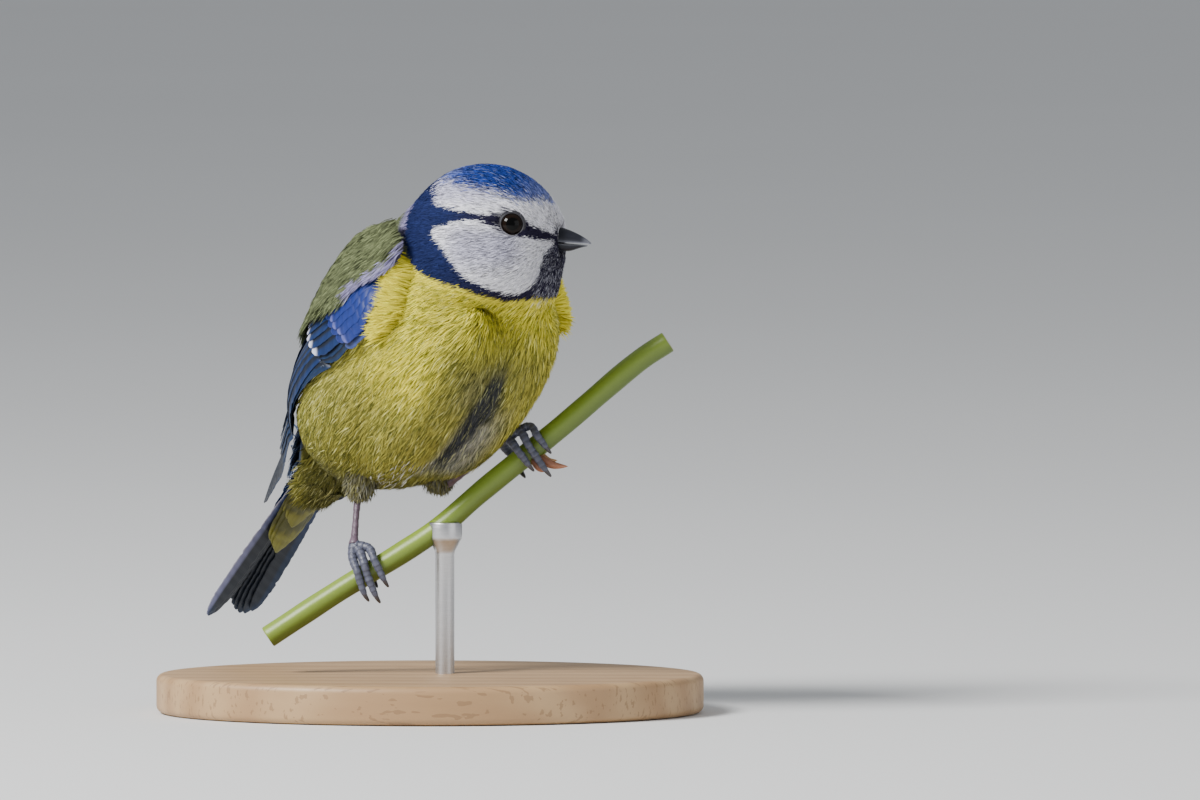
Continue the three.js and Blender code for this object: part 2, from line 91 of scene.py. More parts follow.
# The plumage's outer form: the same ellipsoids as the solids, by frame, middle and half-sizes
MASSES = [
    (BODY, (-1.3, 0, 2.5), (20.7, 19.7, 14.5)),
    (BODY, (12, 0, 0.5), (15, 18.8, 15)),
    (BODY, (-8.8, 0, 2.5), (16, 17.7, 11.9)),
    (BODY, (6.5, 6, -8.4), (19.3, 7.1, 7)),
    (BODY, (6.5, -6, -8.4), (19.3, 7.1, 7)),
    (BODY, (9, 0, 9), (19, 15.5, 11)),
    (BODY, (22, 0, 6), (12, 13.5, 12)),
    (BODY, (-22, 0, 9), (14, 9.5, 7)),
    (BODY, (-34, 0, 9.8), (13, 5.6, 3.6)),
    (HEAD, (-0.5, 0, 0.4), (12.4, 11.4, 10.9)),
    (HEAD, (0.5, 5, -4.5), (9.5, 6.5, 7)),
    (HEAD, (0.5, -5, -4.5), (9.5, 6.5, 7)),
    (HEAD, (7, 0, -1.2), (6, 4.8, 6.4)),
    (HEAD, (6.2, 0, -8), (6, 6, 6)),
]
SOFTNESS = 3.5


def outside(p):
    """How far points lie outside the plumage."""
    total = None
    for place, at, size in MASSES:
        q = local(place, p) - at
        size = np.array(size, float)
        k0 = np.linalg.norm(q / size, axis=1)
        k1 = np.linalg.norm(q / size**2, axis=1) + 1e-9
        d = k0 * (k0 - 1) / k1
        if total is None:
            total = d
        else:
            h = np.maximum(SOFTNESS - np.abs(total - d), 0) / SOFTNESS
            total = np.minimum(total, d) - h * h * SOFTNESS / 4
    return total


def unit(v):
    return v / (np.linalg.norm(v, axis=-1, keepdims=True) + 1e-12)


def slope(p):
    """How far outside points lie, and the way out of the plumage there."""
    here = outside(p)
    step = 0.05
    out = np.stack([outside(p + step * axis) - here for axis in np.eye(3)], axis=1)
    return here, unit(out)


def to_level(p, level, rounds=1):
    for _ in range(rounds):
        here, out = slope(p)
        p = p + out * (level - here)[:, None]
    return p, out


def smooth(x, low, high):
    """0 under a low value, rising to 1 at a high one."""
    t = np.clip((x - low) / (high - low), 0, 1)
    return t * t * (3 - 2 * t)


def below(x, full, none):
    """1 under one value, falling to 0 at a greater one."""
    return smooth(-x, -none, -full)


def near(x, middle, reach, full=0.0):
    """1 round a middle value, falling to 0 at a reach from it."""
    return below(np.abs(x - middle), full, reach)


def mix(a, b, share):
    return np.asarray(a) * (1 - share[:, None]) + np.asarray(b) * share[:, None]


def lerp(a, b, share):
    return a + (b - a) * share


# Markings. Head edges are angles: from the bill's line, and round it from the crown down.
CAP_EDGE = [
    (28, 0), (33, 16), (38, 33), (51, 50), (60, 53), (91, 51), (105, 49), (115, 44), (128, 30), (135, 0)]
STRIPE_TOP = [
    (10, 74), (27, 73), (37, 72), (47, 68), (60, 63), (72, 70), (82, 72), (100, 71),
    (119, 67), (128, 61), (140, 40)]
STRIPE_BOTTOM = [
    (10, 90), (31, 90), (41, 87), (57, 86), (69, 82), (76, 79), (85, 77), (94, 77),
    (102, 79), (117, 84), (128, 90)]
BIB_EDGE = [(95, 12), (105, 22), (121, 30), (134, 37), (147, 43), (154, 46), (160, 50), (180, 52)]
# Collar edges: height along the neck by the angle round it from the back
COLLAR_LOW = [
    (0, 4.5), (30, 4.2), (40, 3.2), (48, 1.6), (56, 0.1), (66, -1), (75, -2.2), (90, -1.9), (105, -0.9),
    (120, 0.2), (140, 0.9), (150, 1.1), (156, 1.8), (164, 3), (172, 3.6), (180, 3.6)]
COLLAR_HIGH = [
    (0, 11), (47, 10.4), (59, 9.3), (66, 7.5), (72, 5.7), (80, 4.8), (92, 4.1), (103, 3.3), (115, 2.4),
    (135, 2.3), (150, 2.5), (156, 3.4), (161, 4.7), (164, 6.6), (168, 9), (172, 10.8), (176, 13), (180, 16)]
BACK_EDGE = 78  # how far round from the spine the mantle reaches, in degrees
BREAST_START = 2  # the place along the body that parts the breast from the belly
COLOURS = {
    # The bright and the olive yellows are the breast's one yellow with painted light and painted shade in it, and
    # the vent's dark olive holds painted shade
    "yellow_painted_lit": (0.9, 0.79, 0.06),
    "yellow": (0.3772, 0.3444, 0.066),
    "yellow_painted_shade": (0.2, 0.2, 0.03),
    "dusk": (0.17, 0.165, 0.09),
    "white": (0.84, 0.83, 0.89),
    "shade": (0.4, 0.39, 0.53),
    "cap": (0.018, 0.052, 0.3),
    "cap_pale": (0.24, 0.29, 0.62),
    "navy": (0.011, 0.019, 0.081),
    "ink": (0.02, 0.017, 0.04),
    "mantle": (0.133, 0.1548, 0.0726),
    "patch": (0.264, 0.2432, 0.405),
    "grey": (0.3, 0.3, 0.29),
    "slate": (0.04, 0.044, 0.055),
    "lesser": (0.013, 0.028, 0.169),
    "lesser_pale": (0.102, 0.114, 0.3375),
    "wing": (0.006, 0.022, 0.089),
    "wing_pale": (0.038, 0.063, 0.213),
    "bar": (0.66, 0.66, 0.8),
    "quill": (0.008, 0.012, 0.022),
    "quill_edge": (0.005, 0.021, 0.064),
    "tail": (0.04, 0.072, 0.208),
    "tail_pale": (0.2, 0.21, 0.38),
    "vent_painted_shade": (0.08, 0.084, 0.02),
}


def curve(knots, x):
    xs, ys = zip(*knots)
    return np.interp(x, xs, ys)


def head_angles(p):
    """Angles from the bill's line, and round it from the crown down."""
    q = local(HEAD, p)
    lean = np.degrees(np.arccos(np.clip(q[:, 0] / (np.linalg.norm(q, axis=1) + 1e-9), -1, 1)))
    turn = np.degrees(np.arctan2(np.abs(q[:, 1]), q[:, 2]))
    return lean, turn


def neck_place(p):
    """Height along the neck, and the angle round it from the back."""
    q = local(NAPE, p)
    return q[:, 0], np.degrees(np.abs(np.arctan2(q[:, 1], q[:, 2])))


def middle_rise(along):
    """How far the trunk's middle line lies above the body's, which grows towards the tail."""
    return 7.5 * below(along, -30, -5)


def body_place(p):
    """Places forward and left on the body, and the angle round it from the spine."""
    q = local(BODY, p)
    along, aside = q[:, 0], q[:, 1]
    return along, aside, np.degrees(np.arctan2(np.abs(aside), q[:, 2] - middle_rise(along)))


def on_head(p):
    height, turn = neck_place(p)
    return height > curve(COLLAR_LOW, turn)


def over(colour, name, share):
    """One of the bird's colours laid over others."""
    return mix(colour, COLOURS[name], share)


def trunk_colour(p):
    """Yellow with a dark stripe down the belly, and green over the back. Painted light brightens the upper breast
    and the flank by the wing, and painted shade darkens the lower belly and the vent.
    """
    along, aside, turn = body_place(p)
    # Painted light: the upper breast, and more weakly the left side, take the brighter yellow
    painted_light_share = 0.75 * smooth(along, 17, 27) + 0.25 * smooth(aside, 4, 12)
    colour = over(COLOURS["yellow"], "yellow_painted_lit", painted_light_share)
    # Painted shade: the lower belly turns olive
    colour = over(colour, "yellow_painted_shade", 0.5 * below(along, -14, 2))
    dusky = near(aside, -4, 6) * near(along, 14, 7, 1) * smooth(turn, 130, 155)
    colour = over(colour, "dusk", 0.65 * dusky)
    grey = near(aside, 1.5, 7, 1) * below(along, 2, 13) * smooth(along, -13, -7) * smooth(turn, 120, 150)
    colour = over(colour, "grey", 0.85 * grey)
    half_width = 2.2 + 1.5 * near(along, 9, 7)
    stripe = near(aside / half_width, 0, 1.15, 0.45) * below(along, 15, 21) * smooth(along, -11, -4)
    colour = over(colour, "slate", 0.96 * stripe * (turn > 120))
    # Painted light: the flank by the wing's front takes the brighter yellow
    painted_light_by_wing = near(aside, -15, 6, 1) * smooth(along, 0, 14) * (turn > 70)
    colour = over(colour, "yellow_painted_lit", 0.8 * painted_light_by_wing)
    # Painted shade: the vent is darkened to olive
    vent_painted_shade = below(along, -22, -10) * smooth(turn, 80, 120)
    colour = over(colour, "vent_painted_shade", 0.85 * vent_painted_shade)
    back = below(turn, 70, BACK_EDGE)
    colour = over(colour, "mantle", back)
    rump = back * below(along, -28, -18)
    return over(colour, "tail", 0.7 * rump)


def face_colour(p):
    """White with a blue cap, a dark line through the eye and a dark bib."""
    lean, down = head_angles(p)
    # Painted shade: the ear coverts are tinted lavender-grey, and the rear of the brow takes the same
    # lavender-grey
    ear_painted_shade = smooth(lean, 40, 62) * below(lean, 96, 118) * smooth(down, 78, 90) * below(down, 102, 124)
    brow = below(down, 54, 70) * smooth(lean, 60, 100) * (1 - ear_painted_shade)
    face = over(COLOURS["white"], "shade", 0.7 * ear_painted_shade + 0.75 * brow)
    cap = smooth(curve(CAP_EDGE, lean) - down, -1.5, 9)
    pale = np.clip(0.75 * below(lean, 34, 66) + 0.7 * smooth(lean, 104, 126), 0, 1)
    face = mix(face, over(COLOURS["cap"], "cap_pale", pale), cap)
    stripe = (down > curve(STRIPE_TOP, lean)) & (down < curve(STRIPE_BOTTOM, lean))
    face[stripe] = over(COLOURS["ink"], "navy", smooth(lean, 70, 120))[stripe]
    bib = (down > 105) & (lean < curve(BIB_EDGE, down))
    face[bib] = COLOURS["ink"]
    return face


def markings(p):
    """The plumage's colour at points, for the skin and for the coat alike."""
    height, turn = neck_place(p)
    low, high = curve(COLLAR_LOW, turn), curve(COLLAR_HIGH, turn)
    shoulder = smooth(height, low - 4, low - 1.5) * below(turn, 50, 64)
    colour = over(trunk_colour(p), "patch", shoulder)
    collar = over(COLOURS["navy"], "ink", smooth(turn, 95, 150))
    colour = mix(colour, collar, (height > low).astype(float))
    above = height > high
    colour[above] = face_colour(p)[above]
    return colour


def along_surface(way, out):
    """A way with what points out of the surface taken from it."""
    return unit(way - out * np.sum(way * out, axis=1, keepdims=True))


def lie_of(p, out):
    """The way the feathers lie: away from the bill on the head, from the throat and down the body."""
    to_tail = -BODY[1][0]
    bill = world(HEAD, (13, 0, 0.5))
    throat = bill - 5 * BODY[1][2]
    from_bill = unit(p - bill)
    reach = np.linalg.norm(p - throat, axis=1)
    spread = unit(p - throat) * (1.5 * below(reach, 12, 46))[:, None] + to_tail
    height, _ = neck_place(p)
    share = smooth(height, -2, 5)[:, None]
    return along_surface(from_bill * share + unit(spread) * (1 - share), out)


def unwrap(p):
    """A place on an unwrap of the bird's own shape: the head over the body."""
    q, r = local(HEAD, p), local(BODY, p)
    lean = np.arccos(np.clip(q[:, 0] / (np.linalg.norm(q, axis=1) + 1e-9), -1, 1))
    head_uv = np.stack([np.arctan2(q[:, 1], q[:, 2]) / (2 * math.pi) + 0.5, lean / math.pi], axis=1)
    body_uv = np.stack([np.arctan2(r[:, 1], r[:, 2] - 5) / (2 * math.pi) + 0.5,
                        np.clip((r[:, 0] + 52) / 96, 0, 1)], axis=1)
    head = on_head(p)[:, None]
    return np.where(head, head_uv * (0.96, 0.44) + (0.02, 0.53), body_uv * (0.96, 0.46) + (0.02, 0.02))


# Making meshes
def points_of(mesh):
    """A mesh's points in millimetres."""
    points = np.empty(len(mesh.vertices) * 3, np.float32)
    mesh.vertices.foreach_get("co", points)
    return points.reshape(-1, 3).astype(float) / MM


def colour_points(mesh, colours):
    rgba = np.concatenate([colours, np.ones((len(colours), 1))], axis=1)
    layer = mesh.color_attributes.new(name="plumage", type="FLOAT_COLOR", domain="POINT")
    layer.data.foreach_set("color", rgba.astype(np.float32).ravel())


def map_corners(mesh, name, uv, corners):
    layer = mesh.uv_layers.new(name=name)
    layer.data.foreach_set("uv", uv[corners].astype(np.float32).ravel())


def mesh_object(name, points, triangles, material, colour=None, uv=None, smooth_shade=True):
    mesh = bpy.data.meshes.new(name)
    mesh.vertices.add(len(points))
    mesh.vertices.foreach_set("co", (np.asarray(points) * MM).astype(np.float32).ravel())
    triangles = np.asarray(triangles, np.int32)
    mesh.loops.add(triangles.size)
    mesh.loops.foreach_set("vertex_index", triangles.ravel())
    mesh.polygons.add(len(triangles))
    mesh.polygons.foreach_set("loop_start", np.arange(0, triangles.size, 3, dtype=np.int32))
    mesh.polygons.foreach_set("use_smooth", np.full(len(triangles), smooth_shade))
    if colour is not None:
        colour_points(mesh, colour)
    if uv is not None:
        map_corners(mesh, "OFBake", uv, triangles.ravel())
    mesh.update()
    mesh.validate()
    piece = bpy.data.objects.new(name, mesh)
    bpy.context.scene.collection.objects.link(piece)
    piece.data.materials.append(material)
    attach(piece, "root")
    return piece


STRAND_ROLL = 0.35  # how far strands roll about their length, in radians
STRAND_POINTS = 7
STRAND_FACES = np.array([(0, 1, 3), (0, 3, 2), (2, 3, 5), (2, 5, 4), (4, 5, 6)])
STRAND_SHADE = np.array([0.5, 0.5, 0.86, 0.86, 1.0, 1.0, 1.08])
STRAND_ALONG = np.array([0, 0, 0.34, 0.34, 0.7, 0.7, 1.0])
STRAND_STEPS = (0.34, 0.36, 0.3)
STRAND_WIDTHS = (0.75, 1.0, 0.8)
TUFT_PATCH = (0.0024, 0.0028)  # the size of a tuft's patch on the unwrap


def strands(root, way, length, width, levels, rng):
    """Flat tapering blades that follow the plumage, from root to tip."""
    centres, normals, ways = [root], [slope(root)[1]], [way]
    p = root
    for share, level in zip(STRAND_STEPS, levels):
        p = p + way * (length * share)[:, None]
        p, out = to_level(p, level)
        way = along_surface(way, out)
        centres.append(p)
        normals.append(out)
        ways.append(way)
    tilt = rng.normal(0, STRAND_ROLL, len(root))
    points = np.empty((len(root), STRAND_POINTS, 3))
    for k, share in enumerate(STRAND_WIDTHS):
        side = np.cross(normals[k], ways[k])
        side = unit(side * np.cos(tilt)[:, None] + normals[k] * np.sin(tilt)[:, None])
        half = side * (width * share / 2)[:, None]
        points[:, 2 * k] = centres[k] - half
        points[:, 2 * k + 1] = centres[k] + half
    points[:, -1] = centres[-1]
    return points


def straight_strands(roots, ways, outs, length, half, stations, tip):
    """Strands clear of the plumage: shares of the length, with lift and width at each."""
    points = np.empty((len(roots), STRAND_POINTS, 3))
    sides = unit(np.cross(outs, ways))
    for k, (share, lift, width) in enumerate(stations):
        centre = roots + ways * (length * share)[:, None] + outs * lift
        points[:, 2 * k] = centre - sides * half * width
        points[:, 2 * k + 1] = centre + sides * half * width
    points[:, -1] = roots + ways * length[:, None] + outs * tip
    return points


def coat_piece(name, points, colour, tuft_uv, material, rng, shade):
    """Strands as one mesh, each tuft with its patch on the unwrap."""
    count = len(points)
    faces = (STRAND_FACES[None] + STRAND_POINTS * np.arange(count)[:, None, None]).reshape(-1, 3)
    tone = 1 + rng.normal(0, shade, count)
    rgb = colour[:, None, :] * (STRAND_SHADE[None, :, None] * tone[:, None, None])
    rgb = np.clip(rgb, 0, 1).reshape(-1, 3)
    wide, high = TUFT_PATCH
    sway = rng.uniform(-wide / 2, wide / 2, (count, 1))
    along = high * (STRAND_ALONG - 0.5)
    sway, along = (np.broadcast_to(v, (count, STRAND_POINTS)) for v in (sway, along))
    uv = tuft_uv[:, None, :] + np.stack([sway, along], axis=2)
    return mesh_object(name, points.reshape(-1, 3), faces, material, rgb, uv.reshape(-1, 2), False)


# Materials, written as expressions on sockets
class Value:
    """A shader socket; arithmetic on it adds Math nodes."""

    def __init__(self, graph, socket):
        self.graph = graph
        self.socket = socket

    def maths(self, operation, first, second):
        return self.graph.add("ShaderNodeMath", {"operation": operation}, {0: first, 1: second})

    def __add__(self, other):
        return self.maths("ADD", self, other)

    def __radd__(self, other):
        return self.maths("ADD", other, self)

    def __sub__(self, other):
        return self.maths("SUBTRACT", self, other)

    def __rsub__(self, other):
        return self.maths("SUBTRACT", other, self)

    def __mul__(self, other):
        return self.maths("MULTIPLY", self, other)

    def __rmul__(self, other):
        return self.maths("MULTIPLY", other, self)

    def above(self, edge):
        return self.maths("GREATER_THAN", self, edge)


class Finish:
    """One material and the nodes that it is made of."""

    def __init__(self, name, **constants):
        self.material = bpy.data.materials.new(name)
        self.material.use_nodes = True
        self.tree = self.material.node_tree
        self.shader = self.tree.nodes["Principled BSDF"]
        for socket, value in constants.items():
            self.shader.inputs[socket.replace("_", " ")].default_value = value

    def add(self, kind, settings=None, inputs=None, output=0):
        node = self.tree.nodes.new(kind)
        for key, value in (settings or {}).items():
            if key == "stops":
                ramp = node.color_ramp
                for place, colour in value[2:]:
                    ramp.elements.new(place).color = (*colour, 1)
                for element, (place, colour) in zip((ramp.elements[0], ramp.elements[-1]), value[:2]):
                    element.position = place
                    element.color = (*colour, 1)
            else:
                setattr(node, key, value)
        for key, value in (inputs or {}).items():
            if isinstance(value, Value):
                self.tree.links.new(value.socket, node.inputs[key])
            else:
                node.inputs[key].default_value = value
        return Value(self, node.outputs[output])

    def feed(self, **sockets):
        for socket, value in sockets.items():
            self.tree.links.new(value.socket, self.shader.inputs[socket.replace("_", " ")])

    def place(self, scale=(1, 1, 1)):
        coords = self.add("ShaderNodeTexCoord", output=3)
        return self.add("ShaderNodeMapping", None, {"Vector": coords, "Scale": scale})

    def noise(self, scale, detail=3.0, stretch=(1, 1, 1)):
        values = {"Vector": self.place(stretch), "Scale": scale, "Detail": detail}
        return self.add("ShaderNodeTexNoise", None, values)

    def tint(self):
        return self.add("ShaderNodeVertexColor", {"layer_name": "plumage"})

    def shaded(self, colour, amount):
        """A colour made lighter and darker by a number round 1."""
        grey = self.add("ShaderNodeCombineXYZ", None, {0: amount, 1: amount, 2: amount})
        return self.add("ShaderNodeVectorMath", {"operation": "MULTIPLY"}, {0: colour, 1: grey})

    def mixed(self, share, first, second):
        inputs = {0: share, 6: first if isinstance(first, Value) else (*first, 1),
                  7: second if isinstance(second, Value) else (*second, 1)}
        return self.add("ShaderNodeMix", {"data_type": "RGBA"}, inputs, 2)

    def bump(self, height, strength, distance):
        return self.add("ShaderNodeBump", None, {"Height": height, "Strength": strength, "Distance": distance})


def plumage_finish():
    made = Finish("plumage", Roughness=0.75, Specular_IOR_Level=0.12)
    made.feed(Base_Color=made.shaded(made.tint(), 0.86 + 0.28 * made.noise(900, 2.0)))
    return made.material


def skin_finish():
    made = Finish("down_and_skin_painted_shade", Roughness=0.9, Specular_IOR_Level=0.1)
    # The plumage's colours darkened to 0.3 to 0.7: the down's darker tone with painted shade under the coat
    noise = made.noise(1400, 3.0)
    made.feed(Base_Color=made.shaded(made.tint(), 0.3 + 0.4 * noise), Normal=made.bump(noise, 0.6, 0.0004))
    return made.material


def vane_finish():
    """Barbs run out and forward from the shaft, on the vane's own UV map in metres."""
    made = Finish("flight_vane", Roughness=0.45, Specular_IOR_Level=0.25)
    uv = made.add("ShaderNodeUVMap", {"uv_map": "Vane"})
    x = made.add("ShaderNodeSeparateXYZ", None, {0: uv})
    y = made.add("ShaderNodeSeparateXYZ", None, {0: uv}, 1)
    slant = y - 0.75 * x.maths("ABSOLUTE", x, 0)
    wave = (slant * 2600).maths("SINE", slant * 2600, 0)
    streak = made.add("ShaderNodeCombineXYZ", None, {0: slant * 900, 1: x * 60})
    noise = made.add("ShaderNodeTexNoise", None, {"Vector": streak, "Scale": 1.0, "Detail": 2.0})
    made.feed(Base_Color=made.shaded(made.tint(), 0.7 + 0.5 * noise + 0.07 * wave),
              Normal=made.bump(noise + 0.4 * wave, 0.35, 0.0002))
    return made.material


def horn_finish(name, roughness, **extra):
    made = Finish(name, **extra)
    noise = made.noise(500, 3.0)
    made.feed(Base_Color=made.shaded(made.tint(), 0.75 + 0.5 * noise), Roughness=roughness - 0.08 + 0.2 * noise,
              Normal=made.bump(made.noise(1600, 2.0), 0.15, 0.0002))
    return made.material


def eye_finish():
    made = Finish("wet_eye", Specular_IOR_Level=0.14)
    noise = made.noise(1500, 2.0)
    made.feed(Base_Color=made.shaded(made.tint(), 0.3 + 0.2 * noise), Roughness=0.06 + 0.06 * noise)
    return made.material


def scaled_leg_finish():
    made = Finish("scaled_leg", Specular_IOR_Level=0.5)
    noise = made.noise(900, 4.0)
    values = {"Vector": made.place(), "Scale": 1900}
    cells = made.add("ShaderNodeTexVoronoi", {"feature": "DISTANCE_TO_EDGE"}, values)
    made.feed(Base_Color=made.shaded(made.tint(), 0.7 + 0.6 * noise), Roughness=0.3 + 0.3 * noise,
              Normal=made.bump(cells + 0.3 * noise, 0.4, 0.0002))
    return made.material


def stem_finish():
    made = Finish("green_stem", Subsurface_Weight=0.08, Specular_IOR_Level=0.55)
    made.shader.inputs["Subsurface Radius"].default_value = (0.0012, 0.0016, 0.0005)
    along = made.noise(220, 4.0, (0.25, 2.5, 0.25))
    fine = made.noise(2600, 2.0)
    made.feed(Base_Color=made.shaded(made.tint(), 0.74 + 0.36 * along + 0.16 * fine), Roughness=0.3 + 0.22 * along,
              Normal=made.bump(along + 0.25 * fine, 0.3, 0.0003))
    return made.material


def wood_finish():
    made = Finish("oiled_oak", Coat_Roughness=0.3)
    wander = made.noise(14, 3.0, (0.3, 1, 1))
    grain = {
        "Vector": made.place((0.12, 1, 1)), "Scale": 42.0, "Distortion": 5.0, "Detail": 3.0, "Detail Scale": 2.0}
    rings = made.add("ShaderNodeTexWave", {"bands_direction": "Y"}, grain)
    pores = made.noise(2600, 2.0, (0.04, 1, 0.3))
    colour = made.mixed(rings * 0.6 + wander * 0.4, (0.5, 0.33, 0.17), (0.36, 0.21, 0.1))
    colour = made.mixed(pores.above(0.62) * 0.5, colour, (0.2, 0.11, 0.05))
    made.feed(Base_Color=colour, Roughness=0.38 + 0.2 * pores, Normal=made.bump(rings * 0.3 + pores, 0.2, 0.0002))
    return made.material


def steel_finish():
    made = Finish("brushed_steel", Metallic=1.0)
    lines = made.noise(500, 2.0, (1, 1, 14))
    made.feed(Base_Color=made.mixed(lines, (0.5, 0.5, 0.51), (0.68, 0.68, 0.69)), Roughness=0.28 + 0.2 * lines,
              Normal=made.bump(lines, 0.12, 0.0001))
    return made.material


def floor_finish():
    made = Finish("pale_floor", Roughness=0.8)
    made.feed(Base_Color=made.mixed(made.noise(3, 2.0), (0.74, 0.74, 0.73), (0.77, 0.77, 0.76)))
    return made.material


# Curves through points, and solids drawn by extruding a circle through rings
def smooth_line(points, count, start=0.0, end=1.0):
    """Evenly spaced points, centripetal Catmull-Rom, between two shares of the length."""
    p = np.asarray(points, float)
    p = np.concatenate([[2 * p[0] - p[1]], p, [2 * p[-1] - p[-2]]])
    t = np.linspace(0, 1, 40, endpoint=False)[:, None]
    dense = []
    for a, b, c, d in zip(p, p[1:], p[2:], p[3:]):
        ab, bc, cd = (max(np.linalg.norm(v - u), 1e-9) ** 0.5 for u, v in ((a, b), (b, c), (c, d)))
        m1 = ((b - a) / ab - (c - a) / (ab + bc) + (c - b) / bc) * bc
        m2 = ((c - b) / bc - (d - b) / (bc + cd) + (d - c) / cd) * bc
        dense.append(b + m1 * t + (3 * (c - b) - 2 * m1 - m2) * t**2 + (2 * (b - c) + m1 + m2) * t**3)
    dense = np.concatenate(dense + [p[-2:-1]])
    run = np.concatenate([[0], np.cumsum(np.linalg.norm(np.diff(dense, axis=0), axis=1))])
    want = np.linspace(start, end, count) * run[-1]
    return np.stack([np.interp(want, run, dense[:, k]) for k in range(dense.shape[1])], axis=1)


def length_of(points):
    dense = smooth_line(points, 300)
    return np.linalg.norm(np.diff(dense, axis=0), axis=1).sum()


def round_turn(sides):
    return np.linspace(0, 2 * math.pi, sides, endpoint=False)


def tube_rings(centres, radii, sides, flat=1.0):
    """Rings round a line of points; flat presses them along their second direction."""
    centres = np.asarray(centres)
    ways = unit(np.gradient(centres, axis=0))
    turn = round_turn(sides)
    side = np.array((0, 1, 0), float)
    rings = []
    for centre, way, radius in zip(centres, ways, radii):
        side = unit(side - way * np.dot(side, way))
        other = np.cross(way, side)
        across = np.outer(radius * np.cos(turn), side)
        upward = np.outer(radius * flat * np.sin(turn), other)
        rings.append(centre + across + upward)
    return np.array(rings)


def height_rings(outline, sides, middle=(0, 0)):
    """Level rings round an upright line: half-width, half-depth and height of each."""
    turn = round_turn(sides)
    return [np.stack([middle[0] + wide * np.cos(turn), middle[1] + deep * np.sin(turn), np.full(sides, height)],
                     axis=1)
            for wide, deep, height in outline]


def deselect():
    for piece in list(bpy.context.selected_objects):
        piece.select_set(False)


def extruded(name, rings, material, tints=None, angle=180):
    """A closed solid: a circle is added and extruded from ring to ring."""
    deselect()
    rings = np.asarray(rings) * MM
    sides = rings.shape[1]
    bpy.ops.mesh.primitive_circle_add(vertices=sides, radius=1.0, fill_type="NGON")
    piece = bpy.context.object
    piece.name = name
    bpy.ops.object.mode_set(mode="EDIT")
    mesh = bmesh.from_edit_mesh(piece.data)
    mesh.verts.ensure_lookup_table()
    in_turn = sorted(mesh.verts, key=lambda v: math.atan2(-v.co.x, v.co.y) % (2 * math.pi))
    for vert, place in zip(in_turn, rings[0]):
        vert.co = place
    for before, ring in zip(rings, rings[1:]):
        bpy.ops.mesh.extrude_region_move()
        mesh = bmesh.from_edit_mesh(piece.data)
        for vert in [v for v in mesh.verts if v.select]:
            nearest = np.argmin(np.sum((before - np.array(vert.co)) ** 2, axis=1))
            vert.co = ring[nearest]
    bmesh.update_edit_mesh(piece.data)
    bpy.ops.mesh.select_all(action="SELECT")
    bpy.ops.mesh.normals_make_consistent(inside=False)
    bpy.ops.object.mode_set(mode="OBJECT")
    bpy.ops.object.shade_smooth_by_angle(angle=rad(angle))
    if tints is not None:
        paint(piece, rings.reshape(-1, 3), np.asarray(tints).reshape(-1, 3))
    finish(piece, material)
    return piece


def paint(piece, places, colours):
    """Give a piece's points the colours of the nearest of some places, in metres."""
    tree = kdtree.KDTree(len(places))
    for k, place in enumerate(places):
        tree.insert(place, k)
    tree.balance()
    colour_points(piece.data, np.array([colours[tree.find(vert.co)[1]] for vert in piece.data.vertices]))


def finish(piece, material):
    """Put a piece's place into its mesh, dress it and let it ride on the bird's one body."""
    deselect()
    piece.select_set(True)
    bpy.context.view_layer.objects.active = piece
    bpy.ops.object.transform_apply(location=True, rotation=True, scale=True)
    piece.data.materials.clear()
    piece.data.materials.append(material)
    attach(piece, "root")


def carve(piece, cutter):
    """Cut a solid out of a piece, and remove the cutter."""
    cut = piece.modifiers.new("carve", "BOOLEAN")
    cut.operation = "DIFFERENCE"
    cut.object = cutter
    deselect()
    bpy.context.view_layer.objects.active = piece
    bpy.ops.object.modifier_apply(modifier=cut.name)
    bpy.data.objects.remove(cutter, do_unlink=True)


def joined(name, pieces):
    deselect()
    for piece in pieces:
        piece.select_set(True)
    bpy.context.view_layer.objects.active = pieces[0]
    bpy.ops.object.join()
    pieces[0].name = name
    return pieces[0]


def tinted(colour, rings, along=None):
    """One colour on every point of some rings, scaled from ring to ring."""
    shape = np.asarray(rings).shape
    share = np.ones(shape[0]) if along is None else np.asarray(along)
    return np.broadcast_to(np.array(colour), shape) * share[:, None, None]


# Sizes and colours that a user would change
def count_setting(name, text, default):
    return bpy.props.IntProperty(name=name, description=text, default=default, min=0)


def size_setting(name, text, default):
    return bpy.props.FloatProperty(name=name, description=text, default=default, unit="LENGTH")


def power_setting(name, text, default):
    return bpy.props.FloatProperty(name=name, description=text, default=default, min=0)


def colour_setting(name, text, default):
    return bpy.props.FloatVectorProperty(name=name, description=text, default=default, size=3, subtype="COLOR")


class BlueTitPlumage(bpy.types.PropertyGroup):
    """The coat, the wings and the tail."""

    body_strands: count_setting("Body strands", "Strands of plumage on the body", 150000)
    head_strands: count_setting("Head strands", "Strands of plumage on the head", 85000)
    body_depth: size_setting("Body depth", "How deep the coat is on the body", 0.0013)
    head_depth: size_setting("Head depth", "How deep the coat is on the face", 0.0006)
    seed: count_setting("Seed", "Where the random numbers start", 7)


class BlueTitFace(bpy.types.PropertyGroup):
    """The eyes and the bill."""

    eye_radius: size_setting("Eye radius", "Radius of the eyeball", 0.0023)
    eye_proud: size_setting("Eye proud", "How far the eye stands out", 0.00055)
    iris: colour_setting("Iris", "Colour of the iris", (0.02, 0.0105, 0.006))
    horn: colour_setting("Bill", "Colour of the bill", (0.014, 0.015, 0.021))


class BlueTitFeet(bpy.types.PropertyGroup):
    """The legs and the toes."""

    scale_colour: colour_setting("Scales", "Colour of the legs' scales", (0.085, 0.09, 0.13))
    claw_colour: colour_setting("Claws", "Colour of the claws", (0.05, 0.045, 0.05))


